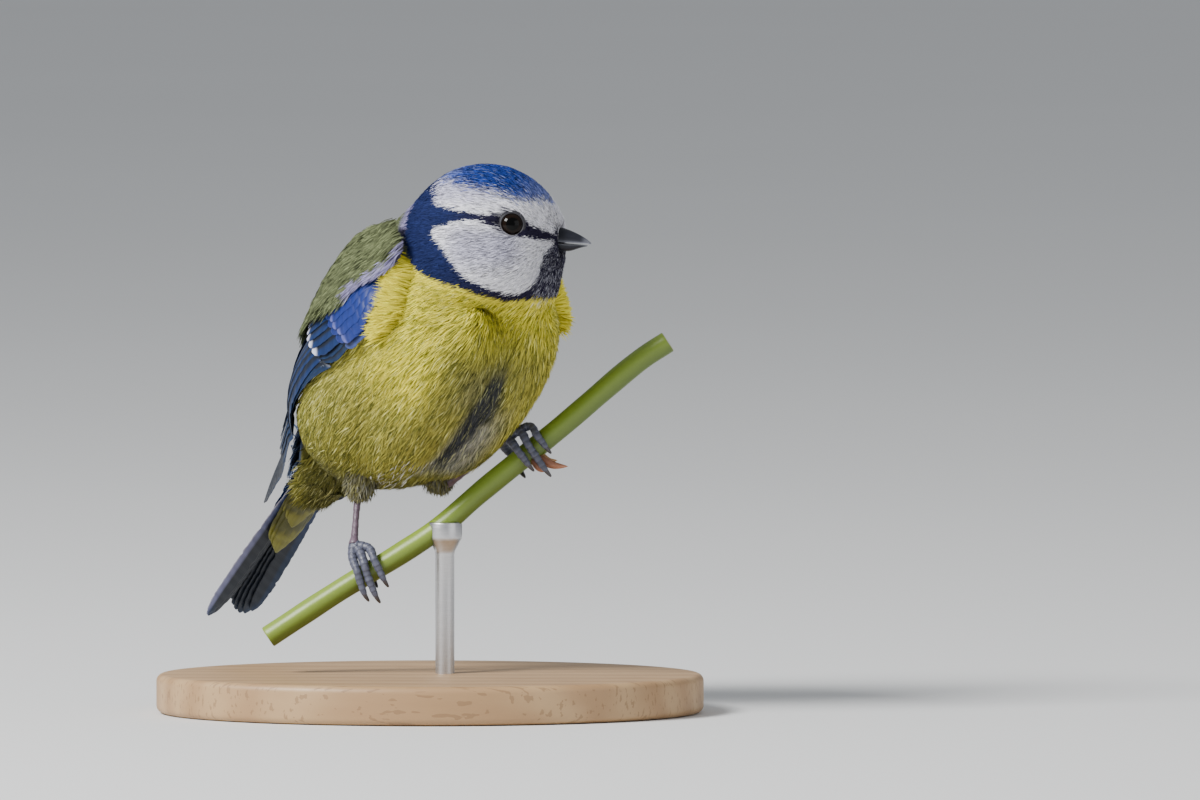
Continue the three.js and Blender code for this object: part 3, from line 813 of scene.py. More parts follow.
class BlueTitPerch(bpy.types.PropertyGroup):
    """The stem and the stand."""

    stem_radius: size_setting("Stem radius", "Radius of the cut stem", 0.00185)
    stem_colour: colour_setting("Stem", "Colour of the stem's skin", (0.2, 0.29, 0.03))
    rod_radius: size_setting("Rod radius", "Radius of the stand's rod", 0.0016)


class BlueTitStage(bpy.types.PropertyGroup):
    """The floor, the lights and the camera."""

    key: power_setting("Key light", "Watts of the light from the upper left", 36.0)
    fill: power_setting("Fill light", "Watts of the light from the right", 2.5)
    sky: power_setting("Sky", "Strength of the pale surroundings", 0.42)


# The head's fixed places
def surface_point(start, way):
    """Where a line from inside the plumage comes out of it."""
    low, high = 0.0, 30.0
    for _ in range(30):
        middle = (low + high) / 2
        if outside((start + way * middle)[None])[0] < 0:
            low = middle
        else:
            high = middle
    return start + way * low


def eye_axis(side):
    return unit(HEAD[1][0] * 0.36 + HEAD[1][1] * side * 0.92 + HEAD[1][2] * 0.14)


EYE_POLES = {side: surface_point(world(HEAD, (4.2, side * 4, 1.6)), eye_axis(side)) for side in (1, -1)}


def eye_reach(p):
    """How far points lie from the nearer eye's line, and the way out from that line."""
    reach = np.full(len(p), 99.0)
    away = np.zeros_like(p)
    for side, pole in EYE_POLES.items():
        axis = eye_axis(side)
        d = p - pole
        height = d @ axis
        flat = d - height[:, None] * axis
        far = np.linalg.norm(flat, axis=1)
        closer = (np.abs(height) < 4) & (far < reach)
        reach[closer] = far[closer]
        away[closer] = unit(flat[closer])
    return reach, away


def in_bill(p, margin=0.0):
    q = local(HEAD, p)
    return (q[:, 0] > 9.6) & (np.abs(q[:, 1]) < 2.0 + margin) & (np.abs(q[:, 2] - 0.1) < 2.3 + margin)


def coat_depth(p):
    plumage = bpy.context.scene.blue_tit_plumage
    height, _ = neck_place(p)
    share = smooth(height, -6, 6)
    return (plumage.body_depth * (1 - share) + plumage.head_depth * share) / MM


class BLUETIT_OT_skin(bpy.types.Operator):
    """One skin over trunk, neck, head and thighs, inside their solids by the coat's depth"""

    bl_idname = "blue_tit.skin"
    bl_label = "Skin"

    def execute(self, context):
        nodes = ["torso", "neck", "head", "thigh_left", "thigh_right"]
        copies = []
        for name in nodes:
            copy = frame["nodes"][name].copy()
            copy.data = copy.data.copy()
            context.scene.collection.objects.link(copy)
            copies.append(copy)
        skin = joined("skin", copies)
        bpy.ops.object.mode_set(mode="EDIT")
        bpy.ops.mesh.select_all(action="SELECT")
        bpy.ops.mesh.remove_doubles(threshold=0.00001)
        bpy.ops.object.mode_set(mode="OBJECT")
        remesh = skin.modifiers.new("remesh", "REMESH")
        remesh.mode = "VOXEL"
        remesh.voxel_size = 0.0006
        bpy.ops.object.modifier_apply(modifier=remesh.name)
        soften = skin.modifiers.new("soften", "SMOOTH")
        soften.iterations = 6
        bpy.ops.object.modifier_apply(modifier=soften.name)
        mesh = skin.data
        points = points_of(mesh)
        normals = np.empty(len(points) * 3, np.float32)
        mesh.vertices.foreach_get("normal", normals)
        leg = (outside(points) > 0.8) & ~on_head(points)
        fitted = points.copy()
        fitted[~leg] = to_level(points[~leg], -coat_depth(points[~leg]), 3)[0]
        fitted[leg] -= normals.reshape(-1, 3)[leg] * 0.35
        mesh.vertices.foreach_set("co", (fitted * MM).astype(np.float32).ravel())
        mesh.update()
        colour_points(mesh, markings(fitted))
        loops = np.empty(len(mesh.loops), np.int32)
        mesh.loops.foreach_get("vertex_index", loops)
        map_corners(mesh, "OFBake", unwrap(fitted), loops)
        mesh.polygons.foreach_set("use_smooth", np.ones(len(mesh.polygons), bool))
        finish(skin, skin_finish())
        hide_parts(*nodes)
        return {"FINISHED"}


def wing_cover(p):
    """Which points the folded wings hide."""
    q = local(BODY, p)
    table = np.array(WING_EDGES, float)[::-1]
    low_left, low_up, high_left, high_up = (np.interp(q[:, 0], table[:, 0], table[:, k]) for k in (1, 2, 3, 4))
    rise = middle_rise(q[:, 0])
    turn = np.arctan2(np.abs(q[:, 1]), q[:, 2] - rise)
    low = np.arctan2(low_left, low_up - rise)
    high = np.arctan2(high_left, high_up - rise)
    margin = rad(9)
    return (turn > high + margin) & (turn < low - margin) & (q[:, 0] < 17) & (q[:, 0] > -40)


def scatter(skin, count, weigh, rng):
    """Places on the skin, denser where a weight is greater."""
    mesh = skin.data
    mesh.calc_loop_triangles()
    corners = np.empty(len(mesh.loop_triangles) * 3, np.int32)
    mesh.loop_triangles.foreach_get("vertices", corners)
    triangles = points_of(mesh)[corners.reshape(-1, 3)]
    first, second, third = triangles.transpose(1, 0, 2)
    area = np.linalg.norm(np.cross(second - first, third - first), axis=1) / 2
    share = area * weigh(triangles.mean(axis=1))
    pick = rng.choice(len(area), count, p=share / share.sum())
    u, v = rng.random((2, count))
    flip = u + v > 1
    u[flip], v[flip] = 1 - u[flip], 1 - v[flip]
    first, second, third = triangles[pick].transpose(1, 0, 2)
    return first + (second - first) * u[:, None] + (third - first) * v[:, None]


TUFT = 5  # strands in a tuft
MOST_STRANDS = 39000  # strands in a piece, five triangles each
COAT_SLOTS = {"head": "plumage_white", "mantle": "plumage_dark", "scapulars": "plumage_dark"}


def tufts(roots, rng, length, width, spread, jitter, fan=0.13, way=None, raise_to=None, levels=None):
    """Strands of tufts at roots, with the place of each strand's tuft on the unwrap.

    Tips lie raise_to high over stations that follow the coat's depth, or each station has its own level. spread
    says how much that varies, jitter how far strands stand from their tuft's root, and fan how far they turn.
    """
    _, out = slope(roots)
    way = lie_of(roots, out) if way is None else way
    count = len(roots)

    def each(values):
        return np.repeat(np.broadcast_to(values, count), TUFT)

    centres, sides, ways = (np.repeat(v, TUFT, axis=0) for v in (roots, np.cross(out, way), way))
    turn = rng.normal(0, fan, count * TUFT) + each(rng.normal(0, 0.6 * fan, count))
    offset = rng.normal(0, 1, (2, count * TUFT)) * each(jitter)
    start = centres + sides * offset[0][:, None] + ways * offset[1][:, None]
    ways = unit(ways * np.cos(turn)[:, None] + sides * np.sin(turn)[:, None])
    length = each(length) * rng.uniform(0.8, 1.15, count * TUFT)
    width = each(width) * rng.uniform(0.8, 1.2, count * TUFT)
    lift = each(rng.normal(0, 1, count) * spread) + rng.normal(0, 0.05, count * TUFT)
    if levels is None:
        depth, high = each(coat_depth(roots)), each(raise_to) + lift
        levels = [-0.45 * depth + 0.2 * high, -0.08 * depth + 0.62 * high, high]
    else:
        levels = [level + lift for level in levels]
    return strands(start, ways, length, width, levels, rng), np.repeat(unwrap(roots), TUFT, axis=0)


def add_coat(name, points, colour, places, material, rng, shade=0.13):
    """Coat pieces of under 200,000 triangles each."""
    slot = next((slot for area, slot in COAT_SLOTS.items() if area in name), "plumage_yellow")
    parts = -(-len(points) // MOST_STRANDS)
    for k in range(parts):
        some = slice(k * MOST_STRANDS, (k + 1) * MOST_STRANDS)
        suffix = "" if parts == 1 else "_" + str(k + 1)
        piece = coat_piece(name + suffix, points[some], colour[some], places[some], material, rng, shade)


class BLUETIT_OT_coat(bpy.types.Operator):
    """Tufts of small feathers over the skin"""

    bl_idname = "blue_tit.coat"
    bl_label = "Coat"

    def execute(self, context):
        plumage = context.scene.blue_tit_plumage
        rng = np.random.default_rng(plumage.seed)
        skin = bpy.data.objects["skin"]
        material = plumage_finish()
        self.cover_head(plumage, rng, skin, material)
        self.cover_body(plumage, rng, skin, material)
        self.overlap_wings(rng, material)
        self.cover_thighs(rng, material)
        return {"FINISHED"}

    def cover_head(self, plumage, rng, skin, material):
        bill = world(HEAD, (11, 0, 0))
        lid_edge, bare = 2.0, 1.92

        def weigh(p):
            reach, _ = eye_reach(p)
            by_bill = 1 + 1.3 * below(np.linalg.norm(p - bill, axis=1), 4, 12)
            return by_bill * (on_head(p) & (reach > lid_edge) & ~in_bill(p, -0.2))

        roots = scatter(skin, plumage.head_strands // TUFT, weigh, rng)
        _, out = slope(roots)
        way = lie_of(roots, out)
        reach, away = eye_reach(roots)
        inward = np.maximum(0, -np.sum(way * away, axis=1)) * below(reach, 2.4, 4.6)
        way = unit(way + away * inward[:, None])
        far = np.linalg.norm(roots - bill, axis=1)
        length = np.interp(far, [0, 4, 9, 20], [1.1, 1.6, 2.6, 3.4])
        width = np.interp(far, [0, 9, 20], [0.1, 0.13, 0.17])
        points, places = tufts(roots, rng, length, width, 0.08, 0.12, way=way, raise_to=0.05)
        reach = np.min([eye_reach(points[:, k])[0] for k in (0, 2, 4, 6)], axis=0)
        keep = (reach > bare) & ~in_bill(points[:, 6], -0.3)
        points, places = points[keep], places[keep]
        middle = points[:, 4:6].mean(axis=1)
        blur = np.interp(head_angles(middle)[1], [55, 70], [0.75, 0.22])
        colour = self.vary_head(markings(middle + rng.normal(0, 1, middle.shape) * blur[:, None]), middle, rng)
        right = local(HEAD, middle)[:, 1] < 0
        add_coat("coat_head_right", points[right], colour[right], places[right], material, rng, 0.17)
        add_coat("coat_head_left", points[~right], colour[~right], places[~right], material, rng, 0.17)
        self.fringe_bill(rng, material)

    def vary_head(self, colour, middle, rng):
        """Dark and pale strands in the cap, specks on the cheeks and white wisps in the bib."""
        count = len(middle)
        lean, down = head_angles(middle)
        crown = down < curve(CAP_EDGE, lean)
        streak = crown & (rng.random(count) < 0.42)
        colour[streak] *= 0.32
        pale = crown & (rng.random(count) < 0.1)
        colour[pale] = colour[pale] * 0.5 + np.array([0.16, 0.19, 0.33])
        white = colour.min(axis=1) > 0.4
        cheek = (lean > 50) & (down > 80) & (down < 122)
        speck = white & (rng.random(count) < 0.1 + 0.2 * cheek)
        colour[speck] *= 0.36
        bib = (down > 100) & (lean < curve(BIB_EDGE, down) + 3)
        wisp = bib & (rng.random(count) < 0.26)
        colour[wisp] = 0.5 * colour[wisp] + np.array([0.34, 0.34, 0.38])
        return colour

    def fringe_bill(self, rng, material):
        """Short bristles lie forward over the bill's base."""
        count = 260
        turn = rng.uniform(0, 2 * math.pi, count)
        q = np.stack([rng.uniform(9.0, 9.9, count), 2.15 * np.cos(turn), 0.05 + 2.3 * np.sin(turn)], axis=1)
        roots = world(HEAD, q)
        outs = unit(world(HEAD, q * (0, 1, 1)) - HEAD[0])
        roots = roots - outs * 0.25
        way = unit(HEAD[1][0] + outs * 0.12 + rng.normal(0, 0.1, (count, 3)))
        base = markings(to_level(roots, 0.0, 3)[0] - HEAD[1][0] * 1.2)
        roots, outs, way, base = (np.repeat(v, TUFT, axis=0) for v in (roots, outs, way, base))
        roots = roots + rng.normal(0, 0.12, roots.shape)
        way = unit(way + rng.normal(0, 0.12, way.shape))
        length = rng.uniform(0.9, 2.0, len(roots))
        stations = ((0, 0, 1.0), (0.4, 0, 0.9), (0.75, 0, 0.6))
        points = straight_strands(roots, way, outs, length, 0.055, stations, -0.08)
        places = np.repeat(unwrap(roots[::TUFT]), TUFT, axis=0)
        add_coat("coat_bristles", points, base * 0.8, places, material, rng, 0.25)

    def cover_body(self, plumage, rng, skin, material):
        def weigh(p):
            body = ~on_head(p) & (outside(p) < -0.3) & ~wing_cover(p)
            along = local(BODY, p)[:, 0]
            return body * (1 + 0.5 * smooth(along, 5, 20)) * (along > -44)

        roots = scatter(skin, plumage.body_strands // TUFT, weigh, rng)
        _, _, turn = body_place(roots)
        height, neck_turn = neck_place(roots)
        under_collar = np.maximum(curve(COLLAR_LOW, neck_turn) - height, 0)
        length = np.interp(under_collar, [0, 5, 16, 30], [3.0, 4.6, 6.0, 6.6])
        length = np.where(turn < BACK_EDGE, np.minimum(length, 4.4), length)
        width = np.interp(under_collar, [0, 8, 20], [0.17, 0.22, 0.26])
        loose = smooth(turn, 95, 130)
        raised, spread, jitter = 0.12 + 0.12 * loose, 0.1 + 0.14 * loose, 0.22 + 0.12 * loose
        points, places = tufts(roots, rng, length, width, spread, jitter, 0.15, raise_to=raised)
        middle = points[:, 4:6].mean(axis=1)
        along, aside, turn = body_place(middle)
        back = turn < BACK_EDGE
        colour = self.vary_body(markings(middle), along, aside, back, turn > BACK_EDGE, rng)
        front = along > BREAST_START
        areas = {
            "coat_mantle": back,
            "coat_breast_right": ~back & (aside < 0) & front,
            "coat_breast_left": ~back & (aside >= 0) & front,
            "coat_belly_right": ~back & (aside < 0) & ~front,
            "coat_belly_left": ~back & (aside >= 0) & ~front,
        }
        for name, where in areas.items():
            add_coat(name, points[where], colour[where], places[where], material, rng, 0.16)

    def vary_body(self, colour, along, aside, back, front, rng):
        """Dark and light strands, and white wisps where the belly's stripe ends."""
        strand = rng.random(len(along))
        colour[front & (strand < 0.34)] *= np.array([0.38, 0.42, 0.4])
        light = front & (strand > 0.9)
        colour[light] = colour[light] * 0.65 + np.array([0.3, 0.3, 0.13])
        wisp = (strand > 0.86) & (np.abs(aside + 5) < 4) & (along < -5) & (along > -17)
        colour[wisp] = (0.75, 0.76, 0.72)
        colour[back & (strand < 0.25)] *= 0.62
        return colour

    def overlap_wings(self, rng, material):
        """Yellow tufts, brightened by painted light, lap over the bend of each wing, and the mantle over its upper
        part.
        """
        for side, name in ((-1, "right"), (1, "left")):
            self.cover_bend(side, name, rng, material)
            self.cover_shoulder(side, name, rng, material)

    def cover_bend(self, side, name, rng, material):
        count = 560
        front = smooth_line([(23.5, 13.2, 6), (21.5, 14.9, 2.4), (19, 16.3, -0.4), (15.5, 17.7, -1.9)], 300)
        before_wing = np.array([1.3, 0, -1.9])
        q = front[rng.integers(0, len(front), count)] + rng.normal(0, 0.45, (count, 3)) + before_wing
        roots = to_level(world(BODY, q * (1, side, 1)), -0.5, 3)[0]
        _, out = slope(roots)
        way = along_surface(lie_of(roots, out) * 0.9 + BODY[1][2] * 0.75 - BODY[1][0] * 0.4, out)
        length = rng.uniform(2.2, 3.6, count)
        points, places = tufts(roots, rng, length, 0.2, 0.25, 0.25, 0.2, way, levels=(0.6, 1.7, 2.5))
        # Painted light: the tufts over the wing's bend take the brighter yellow
        colour = COLOURS["yellow_painted_lit"] * rng.uniform(0.65, 1.15, (len(points), 1))
        add_coat("coat_wing_front_" + name, points, colour, places, material, rng)

    def cover_shoulder(self, side, name, rng, material):
        count = 5200
        place = rng.uniform(-15, 25, count)
        lowest = np.interp(place, *zip(*SCAPULAR_EDGE))
        share = lowest + (1.12 - lowest) * rng.random(count)
        roots, out, _ = wing_point(side, place + 2.5, share, np.full(count, 2.2))
        way = lie_of(roots, out)
        length = rng.uniform(3.0, 4.6, count)
        points, places = tufts(roots, rng, length, 0.22, 0.12, 0.3, 0.14, way, levels=(2.75, 2.95, 3.0))
        colour = COLOURS["mantle"] * rng.uniform(0.4, 1.35, (len(points), 1))
        lilac = np.repeat((share - lowest < 0.09) & (place > 14), TUFT)
        colour[lilac] = COLOURS["patch"] * rng.uniform(0.6, 1.1, (lilac.sum(), 1))
        add_coat("coat_scapulars_" + name, points, colour, places, material, rng, 0.18)

    def cover_thighs(self, rng, material):
        """Loose strands all round each thigh, from the knee to the bare leg."""
        count = 900
        for name in ("right", "left"):
            knee, ankle = world(BODY, LEGS[name]["knee"]), np.array(LEGS[name]["ankle"])
            way = unit(ankle - knee)
            share = rng.uniform(0.15, 0.97, count)
            turn = rng.uniform(0, 2 * math.pi, count)
            first = unit(np.cross(way, (0, 0, 1)))
            second = np.cross(way, first)
            out = np.outer(np.cos(turn), first) + np.outer(np.sin(turn), second)
            radius = np.interp(share, [0, 0.5, 1], [3.2, 2.4, 1.1])
            roots = knee + (ankle - knee) * share[:, None] + out * radius[:, None]
            roots = np.repeat(roots, TUFT, axis=0) + rng.normal(0, 0.25, (count * TUFT, 3))
            outs = np.repeat(out, TUFT, axis=0)
            ways = unit(way + rng.normal(0, 0.26, (count * TUFT, 3)))
            length = np.interp(share, [0, 0.8, 1], [3.6, 2.6, 1.6])
            length = np.repeat(length, TUFT) * rng.uniform(0.8, 1.1, count * TUFT)
            stations = ((0, 0, 0.7), (0.34, 0.2905, 1), (0.7, 0.325, 0.8))
            points = straight_strands(roots, ways, outs, length, 0.11, stations, 0.1)
            colour = mix(COLOURS["yellow"], COLOURS["grey"], rng.uniform(0.2, 0.8, len(points)))
            colour = colour * rng.uniform(0.3, 0.75, (len(points), 1))
            places = np.repeat(unwrap(roots[::TUFT]), TUFT, axis=0)
            add_coat("coat_thigh_" + name, points, colour, places, material, rng)


# Wings. The left wing's lower and upper edges: forward, left and up of each edge
WING_EDGES = [(22, 15, 1, 9.5, 11), (15, 18, -2.5, 9, 15.5), (6, 19.6, -1, 7.5, 18), (-5, 19.5, 1, 5.5, 17),
              (-18, 16.8, 2.6, 5.5, 17), (-30, 12, 5, 6.4, 15.2), (-43, 7, 10.4, 5.4, 13.3)]
WING_REST = 1.0
# How far up the wing the mantle's tufts reach down, by the place along the body
SCAPULAR_EDGE = [(-15, 0.95), (-8, 0.76), (0, 0.55), (6.5, 0.42), (11.5, 0.34), (16, 0.3), (18.5, 0.24),
                 (21, 0.16), (25, 0.05)]


def wing_point(side, place, share, level):
    """Points and normals at places along the body, shares up the wing and levels over the plumage."""
    place, share, level = (np.asarray(v, float).ravel() for v in np.broadcast_arrays(place, share, level))
    table = np.array(WING_EDGES, float)
    k = np.clip(np.searchsorted(-table[:, 0], -place, side="left"), 1, len(table) - 1)
    t = ((place - table[k - 1, 0]) / (table[k, 0] - table[k - 1, 0]))[:, None]
    low_left, low_up, high_left, high_up = (table[k - 1, 1:] * (1 - t) + table[k, 1:] * t).T
    across, rise = high_left - low_left, high_up - low_up
    wide = np.hypot(across, rise)
    out = np.outer(side * rise / wide, BODY[1][1]) + np.outer(-across / wide, BODY[1][2])
    at = world(BODY, np.stack([place, side * (low_left + across * share), low_up + rise * share], axis=1))
    at = at + out * (0.4 * wide * np.maximum(0, share * (1 - share)))[:, None]
    settle = 2 * smooth(place, -20, -5)
    for _ in range(6):
        at = at + out * np.clip(WING_REST - outside(at), -settle, 4)[:, None]
    return at + out * (level - WING_REST)[:, None], out, wide


LONG_VANE = [(0, 0.62), (0.3, 0.9), (0.6, 1), (0.86, 0.88), (0.95, 0.62), (0.985, 0.38), (1, 0.1)]
SHORT_VANE = [(0, 0.7), (0.5, 0.98), (0.78, 1), (0.9, 0.84), (0.97, 0.5), (1, 0.14)]
ACROSS = np.array([-1, -0.82, -0.6, -0.4, -0.12, 0.12, 0.4, 0.7, 0.88, 1])


VANE_THICK = 0.16
SHAFT_HEIGHT = 0.12
UNDERSIDE_SHADE = 0.8


def quads(a, b, c, d):
    """Two triangles for each of many quads."""
    return np.concatenate([np.stack([a, b, c], -1).reshape(-1, 3), np.stack([a, c, d], -1).reshape(-1, 3)])


def vane(point_at, width, profile, tone, rng, steps=30):
    """One feather: a closed thin vane with a raised shaft and a ragged edge."""
    # the stations stand closer together towards the tip
    share = 1 - (1 - np.linspace(0, 1, steps)) ** 1.25
    half = width / 2 * curve(profile, share)
    ragged = 1 + rng.uniform(-0.045, 0.045, (steps, 2))
    splits = rng.random((steps, 2)) < 0.07
    ragged[splits] -= 0.13
    edge = np.where(ACROSS[None] < 0, ragged[:, :1], ragged[:, 1:])
    aside = half[:, None] * ACROSS[None] * np.where(np.abs(ACROSS)[None] > 0.85, edge, 1)
    along = np.broadcast_to(share[:, None], aside.shape)
    points, normals = point_at(along, aside)
    shaft = np.exp(-(ACROSS / 0.14) ** 2) * SHAFT_HEIGHT
    body = VANE_THICK * (1 - 0.85 * ACROSS**2)
    lift = (body / 2 + shaft)[None] * (1.1 - 0.6 * share)[:, None]
    sink = np.broadcast_to(body / 2, aside.shape)
    lift, sink = lift.ravel()[:, None], sink.ravel()[:, None]
    places = np.concatenate([points + normals * lift, points - normals * sink])
    across = np.broadcast_to(ACROSS[None], aside.shape)
    spine = 0.35 * np.exp(-(across / 0.12) ** 2).reshape(-1, 1)
    colour = tone(along, across).reshape(-1, 3) * (1 - spine)
    index = np.arange(aside.size).reshape(aside.shape)
    length = np.linalg.norm(points[index[-1, 4]] - points[index[0, 4]])
    uv = np.stack([aside.ravel() * MM + 0.5, along.ravel() * length * MM + 0.5], axis=1)
    return places, vane_faces(index, places, normals), np.concatenate([colour, colour * UNDERSIDE_SHADE]), (
        np.concatenate([uv, uv]))


def vane_faces(index, places, normals):
    """The upper and lower sides of a vane and the wall round its rim, all facing out."""
    under = index.size
    top = quads(index[:-1, :-1], index[:-1, 1:], index[1:, 1:], index[1:, :-1])
    rim = np.concatenate([index[0], index[1:, -1], index[-1, -2::-1], index[-2:0:-1, 0]])
    after = np.roll(rim, -1)
    faces = np.concatenate([top, top[:, ::-1] + under, quads(after, rim, rim + under, after + under)])
    first, second, third = places[faces[0]]
    if np.cross(second - first, third - first) @ normals[0] < 0:
        faces = faces[:, ::-1]
    return faces


def vanes_piece(name, made, material, node):
    """Vanes as one mesh with their barbs' UV map, in place of a node of the solids."""
    starts = np.cumsum([0] + [len(places) for places, _, _, _ in made[:-1]])
    points = np.concatenate([places for places, _, _, _ in made])
    faces = np.concatenate([triangles + start for start, (_, triangles, _, _) in zip(starts, made)])
    colours = np.clip(np.concatenate([colour for _, _, colour, _ in made]), 0, 1)
    piece = mesh_object(name, points, faces, material, colours)
    map_corners(piece.data, "Vane", np.concatenate([uv for _, _, _, uv in made]), faces.ravel())
    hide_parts(node)


def tone_of(inner, outer, tip, tip_from=0.92, edge_from=-0.45, base=None, rim=None):
    """Colours over a vane: its covered side, its leading side, its tip and its thin rim."""
    base = outer if base is None else base

    def tone(along, across):
        lead = smooth(-across, -edge_from - 0.3, -edge_from + 0.1)[..., None]
        past_base = smooth(along, 0.15, 0.7)[..., None]
        edge = lerp(np.array(COLOURS[base]), np.array(COLOURS[outer]), past_base)
        colour = lerp(np.array(COLOURS[inner]), edge, lead)
        end = smooth(along + 0.06 * (1 - np.abs(across)), tip_from, tip_from + 0.07)[..., None]
        colour = lerp(colour, np.array(COLOURS[tip]), end)
        if rim is not None:
            line = smooth(-across, 0.8, 0.95)[..., None] * (1 - end)
            colour = lerp(colour, np.array(COLOURS[rim]), line)
        return colour

    return tone


# A tier's feathers: where the first and the last have root and tip, along the body and up the wing,
# how wide they are, and how high over the plumage root and tip lie
TIER_FIELDS = "count profile first_root last_root first_tip last_tip width root_level tip_levels tone steps bend"
Tier = namedtuple("Tier", TIER_FIELDS, defaults=(1,))
WING_TIERS = [
    Tier(9, LONG_VANE, (3, 0.08), (-6, 0.28), (-43.5, 0.34), (-30, 0.1), 4.0, 0.95, (0.95, 1.3),
         tone_of("quill", "quill_edge", "quill", 0.9, -0.78), 44, bend=1.3),
    Tier(7, LONG_VANE, (2, 0.16), (-2, 0.6), (-27.5, 0.16), (-25, 0.74), 4.4, 1.05, (1.35, 1.8),
         tone_of("quill", "quill_edge", "quill", 0.93, -0.62, base="wing"), 40),
    Tier(3, LONG_VANE, (0, 0.64), (2, 0.88), (-22, 0.72), (-13, 0.92), 6.0, 1.25, (2.0, 2.35),
         tone_of("quill", "wing", "bar", 0.97, -0.1), 36),
    Tier(3, SHORT_VANE, (20, 0.0), (19, 0.14), (9, 0.02), (12.5, 0.2), 2.6, 1.1, (1.9, 2.1),
         tone_of("quill", "wing_pale", "wing_pale", 0.97, -0.5), 26),
    Tier(6, SHORT_VANE, (15, 0.06), (12, 0.22), (2.5, 0.08), (2, 0.28), 2.4, 1.1, (1.45, 1.75),
         tone_of("quill", "quill_edge", "quill", 0.97, -0.7), 28),
    Tier(10, SHORT_VANE, (12, 0.14), (8, 0.92), (1.2, 0.17), (-1.2, 0.94), 3.5, 1.2, (1.95, 2.35),
         tone_of("quill", "wing", "bar", 0.9, -0.4), 28),
    Tier(11, SHORT_VANE, (16.5, 0.08), (12, 0.92), (8.2, 0.1), (5.2, 0.92), 3.2, 1.3, (2.2, 2.6),
         tone_of("wing", "lesser", "lesser", 0.9, -0.2), 20),
] + [
    Tier(13, SHORT_VANE, (22 - 1.5 * k, 0.02), (19 - 1.5 * k, 0.94), (16.5 - 1.7 * k, 0.04),
         (13.9 - 1.7 * k, 0.94), 2.5, 1.3, (2.45 + 0.03 * k, 2.45 + 0.03 * k),
         tone_of("lesser", "lesser", "lesser_pale", 0.86, 0.6), 14)
    for k in range(5)
]


class BLUETIT_OT_wings(bpy.types.Operator):
    """The folded wings: flight feathers under tiers of coverts"""

    bl_idname = "blue_tit.wings"
    bl_label = "Wings"

    def execute(self, context):
        material = vane_finish()
        for side, name in ((1, "left"), (-1, "right")):
            rng = np.random.default_rng(context.scene.blue_tit_plumage.seed + side)
            made = [self.feather(tier, i / (tier.count - 1), side, rng)
                    for tier in WING_TIERS for i in range(tier.count)]
            vanes_piece("wing_vanes_" + name, made, material, "wing_" + name)
        return {"FINISHED"}

    def feather(self, tier, share, side, rng):
        """The feather at a share of the way through its tier."""
        root_place, root_up = (lerp(a, b, share) for a, b in zip(tier.first_root, tier.last_root))
        tip_place = lerp(tier.first_tip[0], tier.last_tip[0], share**tier.bend) + rng.normal(0, 0.25)
        tip_up = lerp(tier.first_tip[1], tier.last_tip[1], share)
        tip_level = lerp(*tier.tip_levels, share)

        def point_at(along, aside):
            place = lerp(root_place, tip_place, along)
            level = lerp(tier.root_level, tip_level, np.minimum(1, along * 2)) - 0.09 * side * aside
            _, _, wide = wing_point(side, place, 0.5, WING_REST)
            up = lerp(root_up, tip_up, along) + side * aside / wide.reshape(aside.shape)
            points, normals, _ = wing_point(side, place, up, level)
            return points, normals

        def toned(along, across):
            return tier.tone(along, across * side)

        return vane(point_at, tier.width, tier.profile, toned, rng, tier.steps)


TAIL_PAIRS = 6
TAIL_END = -73
TAIL_SHORTER = (2.4, 1.2, 0.4, 0, 0.3, 1.4)  # how much shorter each pair is, from the middle out


def on_body(along, aside, up, facing=1):
    """Points in the body's frame, and the way out of feathers that face up or down there."""
    q = np.stack([along, aside, up], axis=1)
    return world(BODY, q), np.broadcast_to(BODY[1][2] * facing, q.shape)


